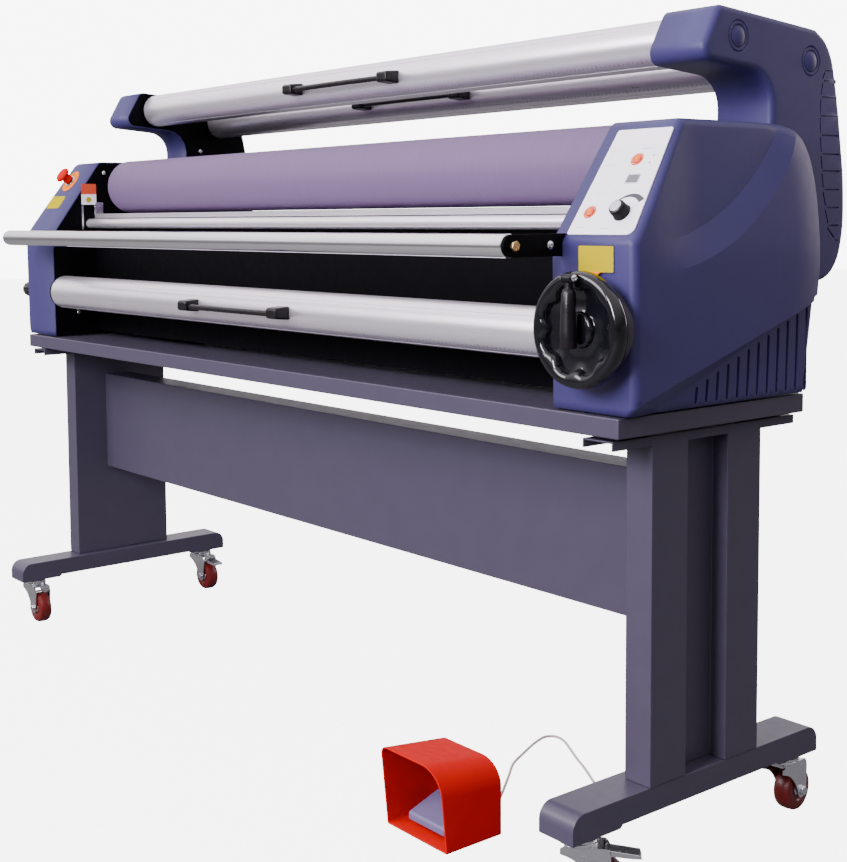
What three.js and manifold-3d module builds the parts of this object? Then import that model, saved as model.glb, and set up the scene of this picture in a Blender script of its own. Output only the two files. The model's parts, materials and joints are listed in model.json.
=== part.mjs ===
// A wide-format cold roll laminator on a wheeled stand, with its foot switch.
// Millimetres. +X is the operator's right, -Y is the operator's side, +Z is up, Z = 0 is the floor.
// Outlines called "side" outlines are drawn in Y and Z; "front" outlines are drawn in X and Z.

import * as THREE from 'three';
import { mergeVertices } from 'three/addons/utils/BufferGeometryUtils.js';
import Module from 'manifold-3d';

const wasm = await Module();
wasm.setup();

// ---------------------------------------------------------------- driving dimensions

const GAP = 0.3; // clearance between separate pieces that meet
const ROUND = 24; // facets on a large round part
const SMALL_ROUND = 12; // facets on a small round part

// Stand
const TRAY = { halfX: 1000, halfY: 223, bottom: 699.5, top: 730, sheet: 3 };
const CHANNEL = { inner: 925, outer: 985, bottom: 679.7, top: 694, halfY: 218, sheet: 3 };
const SPACER = { inner: 932, outer: 978, near: 130, far: 190 }; // blocks between the channel and the tray
const COLUMN = { inner: 934, outer: 985, halfY: 131, bottom: 153.3, wall: 3 };
const RECESS = { halfY: 48, depth: 30, top: 679.7 };
const FOOT = { inner: 914, outer: 984, halfY: 298, bottom: 108, top: 153, corner: 25 };
const FOOT_PAD = { length: 103, step: 5 }; // the ends of the beam hang a little lower
const PANEL = { halfX: 933.6, front: -44, back: 26, bottom: 376, top: 620, sheet: 2.5, lip: 18 };

// Casters, each drawn about its own swivel axis with the wheel trailing towards +X
const CASTER = { x: 951.5, y: 248, trail: 30, wheelRadius: 37.5, wheelHalf: 15, headTop: 107.7 };
const CASTER_HEADING = { frontLeft: 0, rearLeft: 0, frontRight: 43, rearRight: 95 }; // degrees
const BRAKE_PIN = { x: 40, z: 82, radius: 2.5 };

// Head
const PLATE = { inner: 862, outer: 877.5 }; // steel side plates
const COVER = { inner: 878, bottomX: 1000, bellyX: 1024, topX: 1006, top: 1167, wall: 4 }; // moulded end covers
const ARM = { inner: 878, outer: 970, wall: 4 };
const HEAD_FLOOR = 730.4; // the plates and covers stand on the tray

// Nip rollers
const NIP = { y: -10, upperZ: 1104, lowerZ: 973.5, radius: 65, sleeve: 6.7, halfX: 838 };
const JOURNAL = { radius: 20, bore: 8, end: 902 };
const LIFT = 28; // how far the upper roller rises
const BLOCK = { halfY: 29.7, halfZ: 28, outer: 914 };

// Lift drive: handwheel, bevel gears, cross shaft and a screw at each end
const DRIVE = { z: 858, y: 58, wheelX: 952, screwX: 901, shaft: 8, gearSmall: 14, gearLarge: 22 };
const WHEEL = { radius: 86, front: -267, back: -241 };
const BOSS = { radius: 69, front: -235 };
const CRANK = { y: -276, hingeUp: 76, gripTop: 60, gripBottom: -26, gripRadius: 12 };

// Media shafts and tubes that run across the machine
const SHAFT = { radius: 40, wall: 3.5, halfX: 856, journal: 12, journalBore: 6, end: 890 };
const SHAFT_AXES = {
  upper_front_shaft: { y: 82, z: 1301 },
  upper_rear_shaft: { y: 272, z: 1276 },
  lower_front_shaft: { y: -190, z: 843 },
};
const HANDLE = { halfX: 182, footLength: 34, footHalf: 9, reach: 72, barRadius: 7, barAt: 64 };
const IDLER = { y: -115, z: 1012.5, radius: 12, halfX: 858, journal: 6, end: 874 };
const GUIDE = { y: -322, z: 980, radius: 18, wall: 2, stub: 8, bushing: 6 };
const BRACKET = { inner: 878, outer: 883, halfZ: 17, back: -150 };

// Sloping faces of the end covers, which carry the controls
const SLOPE = { low: { y: -217, z: 985 }, high: { y: -88, z: 1163 } };
const KEYPAD = { left: 886, rightLow: 1014, rightHigh: 993, low: 12, high: 206, thick: 1.5 };
const SPEED_KNOB = { x: 975, up: 50, radius: 13.5, height: 18, spindle: 3 };
const BUTTONS = {
  start_button: { x: 953, up: 148 },
  stop_button: { x: 911, up: 52 },
};
const BUTTON = { radius: 8, proud: 4.5, stem: 3 };
const ESTOP = { x: 953, up: 167, cap: 20, neck: 11, stem: 9 };
const TENSION_KNOB = { radius: 19, length: 50, from: 1022.6 };

// Foot switch and its cable
const GUARD = { left: 562, right: 715, height: 140, front: -305, rake: 14, back: -185, wall: 3, fall: 0.11 };
const PEDAL = { left: 592, right: 684, hingeY: -208, hingeZ: 14 };
const CABLE = { radius: 2.5, sides: 8, steps: 80 };
const GLAND = { x: 792, y: 190, bottom: 702, radius: 8 };

// The origin is the middle of the object's box on the floor
const ARM_BACK = 378.1;
const BOX_X = [-TENSION_KNOB.from - TENSION_KNOB.length, DRIVE.wheelX + WHEEL.radius];
const BOX_Y = [GUIDE.y - GUIDE.radius, ARM_BACK];

// ---------------------------------------------------------------- materials

const paint = (color, roughness, metalness) => new THREE.MeshStandardMaterial({ color, roughness, metalness });
const FRAME_PAINT = paint(0x554e60, 0.55, 0.2);
const COVER_PLASTIC = paint(0x45456b, 0.6, 0);
const BLACK_STEEL = paint(0x111114, 0.6, 0.3);
const ALUMINIUM = paint(0xd8d4dc, 0.35, 0.9);
const CHROME = paint(0xe6e6ea, 0.08, 1);
const ZINC = paint(0xc4c6cc, 0.3, 0.9);
const STEEL = paint(0x9a9ca2, 0.35, 0.9);
const ROLLER_RUBBER = paint(0xa79db8, 0.75, 0);
const BLACK_PLASTIC = paint(0x101012, 0.25, 0);
const WHEEL_RED = paint(0x8c1f18, 0.4, 0);
const KEYPAD_WHITE = paint(0xe6def2, 0.4, 0);
const BUTTON_ORANGE = paint(0xe2502c, 0.35, 0);
const SAFETY_RED = paint(0xd61414, 0.4, 0);
const PEDAL_GREY = paint(0x5b5578, 0.5, 0);
const CABLE_GREY = paint(0xa39a9e, 0.5, 0);
const MOTOR_GREY = paint(0x6d7278, 0.5, 0.4);

// ---------------------------------------------------------------- solid helpers

// Welds a geometry into a closed solid whose faces point out.
function solid(shape) {
  if (shape instanceof wasm.Manifold) return shape;
  shape.deleteAttribute('normal');
  shape.deleteAttribute('uv');
  const welded = mergeVertices(shape, 1e-4);
  const points = welded.attributes.position.array;
  const triangles = [];
  for (let i = 0; i < welded.index.count; i += 3) {
    const [a, b, c] = welded.index.array.slice(i, i + 3);
    if (a !== b && b !== c && c !== a) triangles.push([a, b, c]);
  }
  const corner = (i) => new THREE.Vector3(...points.slice(3 * i, 3 * i + 3));
  const sixfold = ([a, b, c]) => corner(a).dot(corner(b).cross(corner(c)));
  const volume = triangles.reduce((sum, triangle) => sum + sixfold(triangle), 0);
  const outward = volume < 0 ? triangles.map(([a, b, c]) => [a, c, b]) : triangles;
  return new wasm.Manifold(new wasm.Mesh({
    numProp: 3,
    vertProperties: new Float32Array(points),
    triVerts: new Uint32Array(outward.flat()),
  }));
}

const join = (first, ...others) => others.reduce((sum, next) => sum.add(solid(next)), solid(first));
const cut = (first, ...tools) => tools.reduce((rest, tool) => rest.subtract(solid(tool)), solid(first));
const common = (first, second) => solid(first).intersect(solid(second));

// The solid as a geometry, mirrored to the left of the machine when side is -1.
function geometryOf(shape, side = 1) {
  const mesh = solid(shape).getMesh();
  const geometry = new THREE.BufferGeometry();
  const points = Float32Array.from(mesh.vertProperties, (value, i) => (i % 3 === 0 ? side * value : value));
  const order = side < 0 ? [0, 2, 1] : [0, 1, 2];
  const index = Array.from(mesh.triVerts, (_, i) => mesh.triVerts[i - (i % 3) + order[i % 3]]);
  geometry.setAttribute('position', new THREE.BufferAttribute(points, 3));
  geometry.setIndex(index);
  geometry.computeVertexNormals();
  return geometry;
}

function piece(name, shape, material, side = 1) {
  const mesh = new THREE.Mesh(geometryOf(shape, side), material);
  mesh.name = name;
  return mesh;
}

// ---------------------------------------------------------------- shape helpers

// A block given by its low and high values on each axis.
function block([x0, x1], [y0, y1], [z0, z1]) {
  const geometry = new THREE.BoxGeometry(x1 - x0, y1 - y0, z1 - z0);
  return geometry.translate((x0 + x1) / 2, (y0 + y1) / 2, (z0 + z1) / 2);
}

// A round solid about one axis through (0, 0, 0), from [along, radius] pairs.
function turned(axis, profile, segments = ROUND) {
  const points = profile.map(([along, radius]) => new THREE.Vector2(radius, along));
  const geometry = new THREE.LatheGeometry(points, segments);
  if (axis === 'x') geometry.rotateZ(-Math.PI / 2);
  if (axis === 'z') geometry.rotateX(Math.PI / 2);
  return geometry;
}

function rod(axis, radius, [from, to], segments = SMALL_ROUND) {
  return turned(axis, [[from, 0], [from, radius], [to, radius], [to, 0]], segments);
}

// A closed ring section: the profile's last point joins its first.
const ring = (axis, profile, segments = ROUND) => turned(axis, [...profile, profile[0]], segments);

const shapeOf = (points) => new THREE.Shape(points.map(([a, b]) => new THREE.Vector2(a, b)));

// Extrudes a side outline (Y, Z) along X.
function alongX(outline, [x0, x1], curveSegments = 6) {
  const geometry = new THREE.ExtrudeGeometry(outline, { depth: x1 - x0, bevelEnabled: false, curveSegments });
  const turn = new THREE.Matrix4().makeBasis(
    new THREE.Vector3(0, 1, 0),
    new THREE.Vector3(0, 0, 1),
    new THREE.Vector3(1, 0, 0),
  );
  return geometry.applyMatrix4(turn).translate(x0, 0, 0);
}

// Extrudes a front outline (X, Z) along Y.
function alongY(outline, [y0, y1], curveSegments = 6) {
  const geometry = new THREE.ExtrudeGeometry(outline, { depth: y1 - y0, bevelEnabled: false, curveSegments });
  return geometry.rotateX(Math.PI / 2).translate(0, y1, 0);
}

// Moves every side of a closed outline inwards (outwards when the distance is negative).
function inset(outline, distance, divisions = 4) {
  const points = outline.getPoints(divisions);
  if (points[0].distanceTo(points[points.length - 1]) < 1e-6) points.pop();
  const turn = THREE.ShapeUtils.isClockWise(points) ? -1 : 1;
  const inward = (from, to) => {
    const along = to.clone().sub(from).normalize();
    return new THREE.Vector2(-along.y, along.x).multiplyScalar(turn);
  };
  const moved = points.map((point, i) => {
    const before = inward(points[(i + points.length - 1) % points.length], point);
    const after = inward(point, points[(i + 1) % points.length]);
    const middle = before.clone().add(after).normalize();
    return point.clone().addScaledVector(middle, distance / middle.dot(before));
  });
  return new THREE.Shape(moved);
}

// ---------------------------------------------------------------- stand

function tray() {
  const { halfX, halfY, bottom, top, sheet } = TRAY;
  const inside = block([sheet - halfX, halfX - sheet], [sheet - halfY, halfY - sheet], [bottom - 1, top - sheet]);
  return cut(block([-halfX, halfX], [-halfY, halfY], [bottom, top]), inside);
}

// A box column with a tall recess in its outer face, welded under a channel that opens downwards.
// Spacer blocks on the channel carry the tray.
function leg() {
  const { inner, outer, halfY, bottom, wall } = COLUMN;
  const { inner: left, outer: right, bottom: low, top: high, halfY: reach, sheet } = CHANNEL;
  const columnTop = high - sheet;
  const recess = (grow) => block(
    [outer - RECESS.depth - grow, outer + 1],
    [-RECESS.halfY - grow, RECESS.halfY + grow],
    [bottom - 2, RECESS.top + grow],
  );
  const hollow = cut(
    block([inner + wall, outer - wall], [wall - halfY, halfY - wall], [bottom - 1, columnTop - wall]),
    recess(wall),
  );
  const column = cut(block([inner, outer], [-halfY, halfY], [bottom, columnTop + 1]), recess(0), hollow);
  const channel = alongY(shapeOf([
    [left, low], [left + sheet, low], [left + sheet, high - sheet], [right - sheet, high - sheet],
    [right - sheet, low], [right, low], [right, high], [left, high],
  ]), [-reach, reach]);
  const spacer = (y) => block([SPACER.inner, SPACER.outer], y, [high - 1, TRAY.top - TRAY.sheet - GAP]);
  return join(column, channel, spacer([-SPACER.far, -SPACER.near]), spacer([SPACER.near, SPACER.far]));
}

// A beam along Y with rounded top ends, lower pads at its ends, open below between the casters.
function foot() {
  const { inner, outer, halfY, bottom, top, corner } = FOOT;
  const padEnd = halfY - FOOT_PAD.length;
  const raised = bottom + FOOT_PAD.step;
  const outline = new THREE.Shape();
  outline.moveTo(-halfY, bottom);
  outline.lineTo(-padEnd, bottom).lineTo(-padEnd + FOOT_PAD.step, raised);
  outline.lineTo(padEnd - FOOT_PAD.step, raised).lineTo(padEnd, bottom).lineTo(halfY, bottom);
  outline.lineTo(halfY, top - corner).absarc(halfY - corner, top - corner, corner, 0, Math.PI / 2);
  outline.lineTo(corner - halfY, top).absarc(corner - halfY, top - corner, corner, Math.PI / 2, Math.PI);
  const wall = 3;
  const hollow = block([inner + wall, outer - wall], [20 - padEnd, padEnd - 20], [bottom, top - wall]);
  const stemHole = (y) => rod('z', 5.5, [bottom - 1, bottom + 16]).translate(CASTER.x, y, 0);
  return cut(alongX(outline, [inner, outer]), hollow, stemHole(-CASTER.y), stemHole(CASTER.y));
}

// The cross panel is a folded channel that opens to the rear.
function crossPanel() {
  const { halfX, front, back, bottom, top, sheet, lip } = PANEL;
  const outline = shapeOf([
    [front, bottom], [back, bottom], [back, bottom + lip], [back - sheet, bottom + lip],
    [back - sheet, bottom + sheet], [front + sheet, bottom + sheet], [front + sheet, top - sheet],
    [back - sheet, top - sheet], [back - sheet, top - lip], [back, top - lip], [back, top], [front, top],
  ]);
  return alongX(outline, [-halfX, halfX]);
}

// ---------------------------------------------------------------- casters

function casterFork() {
  const { trail, wheelRadius, headTop } = CASTER;
  const cheek = new THREE.Shape();
  cheek.moveTo(-30, 80);
  cheek.lineTo(-18, 76).quadraticCurveTo(6, 66, 19, 34);
  cheek.absarc(trail, wheelRadius, 12.5, 1.1 * Math.PI, 1.95 * Math.PI);
  cheek.lineTo(45, 76).quadraticCurveTo(45, 88, 37, 92);
  cheek.lineTo(-24, 92).lineTo(-30, 88);
  const sheet = 2.5;
  const outside = CASTER.wheelHalf + 5.5;
  return join(
    alongY(cheek, [outside - sheet, outside]),
    alongY(cheek, [-outside, sheet - outside]),
    block([-24, 34], [-outside, outside], [88, 92]),
    rod('z', 26, [91, 102], 16),
    rod('z', 20, [101, headTop], 16),
    rod('z', 5, [headTop - 1, headTop + 13], 8),
    rod('y', 4, [-outside - 4, outside + 4]).translate(trail, 0, wheelRadius),
    rod('y', BRAKE_PIN.radius, [-outside, outside], 8).translate(BRAKE_PIN.x, 0, BRAKE_PIN.z),
  );
}

function casterWheel() {
  const { trail, wheelRadius: r, wheelHalf: w } = CASTER;
  const bore = 4.4;
  const profile = [[-w, bore], [-w, r - 4], [4 - w, r], [w - 4, r], [w, r - 4], [w, bore]];
  return ring('y', profile).translate(trail, 0, r);
}

// The lever reaches back over the wheel from a pin between the cheeks.
function brakeLever() {
  const { x, z, radius } = BRAKE_PIN;
  const outline = new THREE.Shape();
  outline.moveTo(x + 5, z - 4.5);
  outline.lineTo(x + 30, 76).lineTo(90, 76).lineTo(88, 82).lineTo(x + 2, z + 4.6);
  outline.absarc(x, z, 5, 0.4 * Math.PI, 1.6 * Math.PI);
  return cut(
    alongY(outline, [-13, 13]),
    rod('y', radius + 0.35, [-14, 14], 12).translate(x, 0, z),
  );
}

// ---------------------------------------------------------------- side outlines of the head

function cabinetOutline() {
  const outline = new THREE.Shape();
  outline.moveTo(-215, HEAD_FLOOR);
  outline.lineTo(222, HEAD_FLOOR).lineTo(244, 872);
  outline.splineThru([[252, 934], [250, 1021], [241, 1108], [216, 1148], [170, COVER.top]]
    .map((p) => new THREE.Vector2(...p)));
  outline.lineTo(-66, COVER.top).quadraticCurveTo(-81, COVER.top, SLOPE.high.y - 4, SLOPE.high.z - 5.5);
  outline.lineTo(SLOPE.low.y + 6, SLOPE.low.z + 8.3);
  outline.quadraticCurveTo(SLOPE.low.y, SLOPE.low.z, SLOPE.low.y - 0.5, SLOPE.low.z - 12);
  return outline;
}

function armOutline() {
  const outline = new THREE.Shape();
  outline.moveTo(170, 1100);
  outline.lineTo(250, 915).lineTo(307, 909).quadraticCurveTo(352, 912, 371, 964);
  outline.splineThru([[378, 1015], [366, 1142], [345, 1253]].map((p) => new THREE.Vector2(...p)));
  outline.quadraticCurveTo(338, 1302, 291, 1327);
  outline.lineTo(58, 1347).quadraticCurveTo(38, 1349, 30, 1337);
  outline.lineTo(4, 1291).quadraticCurveTo(-3, 1268, 16, 1259);
  outline.lineTo(114, 1251).quadraticCurveTo(166, 1246, 170, 1190);
  return outline;
}

// Both outlines as solids along X, inset by a distance or, when it is negative, outset.
const cabinetSolid = (distance, reach) => alongX(inset(cabinetOutline(), distance), reach);
const armSolid = (distance, reach) => alongX(inset(armOutline(), distance), reach);

const coverFront = (wall) => shapeOf([
  [COVER.inner - 2 * wall, HEAD_FLOOR + wall], [COVER.bottomX - wall, HEAD_FLOOR + wall],
  [COVER.bellyX - wall, 880], [COVER.bellyX - wall, 990],
  [COVER.topX - wall, COVER.top - wall], [COVER.inner - 2 * wall, COVER.top - wall],
]);

// Takes a shape drawn on a sloping face (X across, Y up the slope, Z out of it) to its place.
const slopeAngle = Math.atan2(SLOPE.high.z - SLOPE.low.z, SLOPE.high.y - SLOPE.low.y);
const onSlope = (shape) => shape.rotateX(slopeAngle).translate(0, SLOPE.low.y, SLOPE.low.z);

// ---------------------------------------------------------------- plates and covers

const acrossPlate = (radius, y, z, segments = 16) =>
  rod('x', radius, [PLATE.inner - 5, PLATE.outer + 5], segments).translate(0, y, z);

// A steel plate that carries the rollers, the shafts and the arm.
function sidePlate() {
  const x = [PLATE.inner, PLATE.outer];
  const outline = join(cabinetSolid(2.5, x), armSolid(3, x));
  const slot = block(
    [PLATE.inner - 5, PLATE.outer + 5],
    [NIP.y - BLOCK.halfY - GAP, NIP.y + BLOCK.halfY + GAP],
    [NIP.upperZ - BLOCK.halfZ - GAP, NIP.upperZ + BLOCK.halfZ + LIFT + GAP],
  );
  const shaftHoles = Object.values(SHAFT_AXES).map(({ y, z }) => acrossPlate(SHAFT.journal + 0.4, y, z));
  return cut(
    outline,
    slot,
    acrossPlate(JOURNAL.radius + 0.4, NIP.y, NIP.lowerZ),
    acrossPlate(DRIVE.shaft + 0.4, DRIVE.y, DRIVE.z, SMALL_ROUND),
    acrossPlate(IDLER.journal + 0.4, IDLER.y, IDLER.z, SMALL_ROUND),
    ...shaftHoles,
  );
}

// The moulded end cover: a shell that opens towards the side plate.
function coverShell() {
  const reach = [-240, 300];
  const outside = common(
    cabinetSolid(0, [COVER.inner, COVER.bellyX]),
    alongY(coverFront(0), reach),
  );
  const inside = common(
    cabinetSolid(COVER.wall, [COVER.inner - 8, COVER.bellyX]),
    alongY(coverFront(COVER.wall), reach),
  );
  const bracketNotch = block(
    [COVER.inner - 1, BRACKET.outer + 1],
    [-240, -200],
    [GUIDE.z - BRACKET.halfZ - 1, GUIDE.z + BRACKET.halfZ + 1],
  );
  return cut(outside, inside, bracketNotch);
}

const slopeHole = (x, up, radius) => onSlope(rod('z', radius, [-20, 20]).translate(x, up, 0));

function rightCover() {
  const wheelHole = rod('y', 12, [-240, -190]).translate(DRIVE.wheelX, 0, DRIVE.z);
  const buttonHoles = Object.values(BUTTONS).map(({ x, up }) => slopeHole(x, up, BUTTON.radius + 0.8));
  const knobHole = slopeHole(SPEED_KNOB.x, SPEED_KNOB.up, SPEED_KNOB.spindle + 0.8);
  return cut(coverShell(), wheelHole, knobHole, ...buttonHoles);
}

// Drawn on the right; the left cover is its mirror image.
function leftCover() {
  const { y, z } = SHAFT_AXES.lower_front_shaft;
  const knobHole = rod('x', 8, [1000, 1040]).translate(0, y, z);
  return cut(coverShell(), knobHole, slopeHole(ESTOP.x, ESTOP.up, ESTOP.stem + 0.6));
}

// The arm's moulded cover ends where it meets the end cover.
function armCover() {
  const behindCover = (clear) => cabinetSolid(-clear, [ARM.inner - 20, ARM.outer + 20]);
  const outside = cut(armSolid(0, [ARM.inner, ARM.outer]), behindCover(0.6));
  const inside = cut(
    armSolid(ARM.wall, [ARM.inner - 5, ARM.outer - ARM.wall]),
    behindCover(0.6 + ARM.wall),
  );
  return cut(outside, inside);
}

// ---------------------------------------------------------------- fixed parts between the plates

const BETWEEN = [GAP - PLATE.inner, PLATE.inner - GAP];

const infeedTable = () => alongX(shapeOf([
  [-100, 1026], [-97, 1026], [-97, 1033.5], [-50, 1033.5], [-50, 1036.5], [-100, 1036.5],
]), BETWEEN);

const frontCover = () => alongX(shapeOf([
  [-99, 742], [-60, 742], [-60, 744], [-97, 744], [-97, 1025.5], [-99, 1025.5],
]), BETWEEN);

const INLET = { x: [764, 812], z: [792, 818], depth: 24 };

function rearCover() {
  const sheet = alongX(shapeOf([
    [188, 742], [190, 742], [190, 1033], [30, 1033], [30, 1031], [188, 1031],
  ]), BETWEEN);
  const [x0, x1] = INLET.x;
  const [z0, z1] = INLET.z;
  return cut(sheet, block([x0 - GAP, x1 + GAP], [180, 195], [z0 - GAP, z1 + GAP]));
}

function powerInlet() {
  const [x0, x1] = INLET.x;
  const [z0, z1] = INLET.z;
  const flange = block([x0 - 8, x1 + 8], [190 + GAP, 193], [z0 - 4, z1 + 4]);
  const body = block(INLET.x, [190 - INLET.depth, 192], INLET.z);
  const socket = block([x0 + 8, x1 - 8], [176, 195], [z0 + 4, z1 - 4]);
  return cut(join(flange, body), socket);
}

// The gearmotor's hollow gearbox sits on the end of the lower roller.
function gearmotor() {
  const gearbox = block([886, 954], [NIP.y - 45, NIP.y + 45], [NIP.lowerZ - 45, NIP.lowerZ + 45]);
  const motor = rod('y', 36, [-192, NIP.y - 44], 24).translate(924, 0, NIP.lowerZ);
  const bore = rod('x', JOURNAL.radius + 0.4, [880, 960], 24).translate(0, NIP.y, NIP.lowerZ);
  return cut(join(gearbox, motor), bore);
}

const controlBox = () => block([884, 980], [94, 206], [745, 905]);

// ---------------------------------------------------------------- rollers

const rollerEnd = { upper: JOURNAL.end - 1, lower: 948 };

function rollerCore(z, end) {
  const { halfX, radius, sleeve } = NIP;
  const outer = radius - sleeve - GAP;
  const inner = outer - 8;
  const side = [
    [halfX, JOURNAL.radius], [end, JOURNAL.radius], [end, JOURNAL.bore],
    [halfX - 12, JOURNAL.bore], [halfX - 12, inner],
  ];
  const leftEnd = -rollerEnd.upper;
  const otherSide = [
    [12 - halfX, inner], [12 - halfX, JOURNAL.bore], [leftEnd, JOURNAL.bore],
    [leftEnd, JOURNAL.radius], [-halfX, JOURNAL.radius],
  ];
  return ring('x', [[-halfX, outer], [halfX, outer], ...side, ...otherSide]).translate(0, NIP.y, z);
}

function rollerSleeve(z) {
  const { halfX, radius, sleeve } = NIP;
  const profile = [[-halfX, radius - sleeve], [-halfX, radius], [halfX, radius], [halfX, radius - sleeve]];
  return ring('x', profile, 32).translate(0, NIP.y, z);
}

// A block that slides in the side plate's slot, with a nut arm behind it for the lift screw.
function bearingBlock() {
  const z = [NIP.upperZ - BLOCK.halfZ, NIP.upperZ + BLOCK.halfZ];
  const body = block([PLATE.inner, BLOCK.outer], [NIP.y - BLOCK.halfY, NIP.y + BLOCK.halfY], z);
  const arm = block([888, BLOCK.outer], [NIP.y + 20, DRIVE.y + 16], [NIP.upperZ - 12, NIP.upperZ + 12]);
  const journalBore = rod('x', JOURNAL.radius + 0.4, [850, 920], 24).translate(0, NIP.y, NIP.upperZ);
  const nut = rod('z', DRIVE.shaft + 0.4, [1050, 1150]).translate(DRIVE.screwX, DRIVE.y, 0);
  return cut(join(body, arm), journalBore, nut);
}

// ---------------------------------------------------------------- lift drive

const MESH = 0.6; // play between two bevel gears

function liftScrew() {
  const { shaft, gearSmall, gearLarge } = DRIVE;
  const small = DRIVE.z + gearSmall + MESH;
  const large = DRIVE.z + gearLarge + MESH;
  const profile = [
    [small, 0], [small, gearSmall], [large, gearLarge], [large + 5, gearLarge],
    [large + 5, shaft], [1152, shaft], [1152, 0],
  ];
  return turned('z', profile, 24).translate(DRIVE.screwX, DRIVE.y, 0);
}

function crossShaft() {
  const { shaft, gearSmall, gearLarge, screwX, wheelX } = DRIVE;
  const right = screwX + gearSmall;
  const profile = [
    [-screwX - gearLarge - 4, 0], [-screwX - gearLarge - 4, gearLarge], [-screwX - gearLarge, gearLarge],
    [-right, gearSmall], [-right, shaft], [right, shaft], [right, gearSmall],
    [screwX + gearLarge, gearLarge], [wheelX - gearLarge, gearLarge],
    [wheelX - gearSmall, gearSmall], [wheelX - gearSmall, 0],
  ];
  return turned('x', profile, 24).translate(0, DRIVE.y, DRIVE.z);
}

// A dished handwheel on the shaft that reaches back to the bevel gears, with two crank ears.
function handwheel() {
  const { radius: r, front, back } = WHEEL;
  const { shaft, gearSmall, gearLarge } = DRIVE;
  const gearBack = DRIVE.y - gearSmall - MESH;
  const gearFront = DRIVE.y - gearLarge - MESH;
  const web = front + 11;
  const profile = [
    [front + 8, 0], [front + 8, 20], [web - 3, 21], [web - 3, r - 22], [front + 4, r - 18], [front, r - 12],
    [front, r - 6], [front + 6, r], [back - 6, r], [back, r - 6], [back, r - 16], [web + 3, r - 20],
    [web + 3, 21], [back + 3, 20], [back + 3, shaft], [gearFront - 5, shaft], [gearFront - 5, gearLarge],
    [gearFront, gearLarge], [gearBack, gearSmall], [gearBack, 0],
  ];
  const ear = (x) => block([x, x + 3], [CRANK.y - 6, front + 10], [CRANK.hingeUp - 8, CRANK.hingeUp + 6]);
  const pin = rod('x', 3, [-11, 11], 12).translate(0, CRANK.y, CRANK.hingeUp);
  return join(turned('y', profile), ear(-11), ear(8), pin).translate([DRIVE.wheelX, 0, DRIVE.z]);
}

// The grip hangs folded across the wheel and swings out on the ears' pin.
function crankHandle() {
  const { y, hingeUp, gripTop, gripBottom, gripRadius: r } = CRANK;
  const grip = turned('z', [
    [gripBottom, 0], [gripBottom, r - 3], [gripBottom + 3, r], [gripTop - 6, r - 1], [gripTop, 6],
    [hingeUp - 4, 6], [hingeUp - 4, 0],
  ], 20);
  const eye = rod('x', 6.5, [-7.5, 7.5]).translate(0, 0, hingeUp);
  const pinHole = rod('x', 3.35, [-9, 9], 12).translate(0, 0, hingeUp);
  return cut(join(grip, eye), pinHole).translate([DRIVE.wheelX, y, DRIVE.z]);
}

// The dark round housing between the end cover and the handwheel.
function handwheelBoss() {
  const { radius, front } = BOSS;
  const profile = [[-190, 9], [-190, radius], [front + 12, radius], [front, radius - 13], [front, 9]];
  return cut(ring('y', profile).translate(DRIVE.wheelX, 0, DRIVE.z), cabinetSolid(-GAP, [800, 1100]));
}

// ---------------------------------------------------------------- shafts and tubes

function mediaShaft({ y, z }) {
  const { radius, wall, halfX, journal, journalBore, end } = SHAFT;
  const right = [
    [halfX, radius], [halfX, journal], [end, journal], [end, journalBore],
    [halfX - 5, journalBore], [halfX - 5, radius - wall],
  ];
  const left = right.map(([x, r]) => [-x, r]).reverse();
  return ring('x', [...right, ...left]).translate(0, y, z);
}

// A bar on two feet that stands out towards the operator.
function shaftHandle({ y, z }) {
  const { halfX, footLength, footHalf, reach, barRadius, barAt } = HANDLE;
  const footAt = (x) => block([x, x + footLength], [-reach, -30], [-footHalf, footHalf]);
  const bar = rod('x', barRadius, [-halfX + 5, halfX - 5]).translate(0, -barAt, 0);
  const hollow = rod('x', SHAFT.radius + GAP, [-300, 300], ROUND);
  return cut(join(footAt(-halfX), footAt(halfX - footLength), bar), hollow).translate([0, y, z]);
}

function idlerTube() {
  const { y, z, radius, halfX, journal, end } = IDLER;
  const profile = [
    [-end, 0], [-end, journal], [-halfX, journal], [-halfX, radius],
    [halfX, radius], [halfX, journal], [end, journal], [end, 0],
  ];
  return turned('x', profile, 24).translate(0, y, z);
}

function guideTube() {
  const { y, z, radius, wall, stub, bushing } = GUIDE;
  const end = BRACKET.inner - GAP;
  const hole = stub + 0.4;
  const profile = [
    [-end, radius], [end, radius], [end, hole], [end - bushing, hole], [end - bushing, radius - wall],
    [bushing - end, radius - wall], [bushing - end, hole], [-end, hole],
  ];
  return ring('x', profile).translate(0, y, z);
}

// A flat arm with a round nose that holds the guide tube on a stub.
function guideBracket() {
  const { y, z, stub } = GUIDE;
  const { inner, outer, halfZ, back } = BRACKET;
  const outline = new THREE.Shape();
  outline.moveTo(back, z - halfZ);
  outline.lineTo(back, z + halfZ).lineTo(y, z + halfZ);
  outline.absarc(y, z, halfZ, Math.PI / 2, 1.5 * Math.PI);
  return join(
    alongX(outline, [inner, outer], 8),
    rod('x', stub, [inner - 24, inner + 1]).translate(0, y, z),
    rod('x', 5, [outer - 1, outer + 2.5], 6).translate(0, y, z),
  );
}

// ---------------------------------------------------------------- controls

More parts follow.
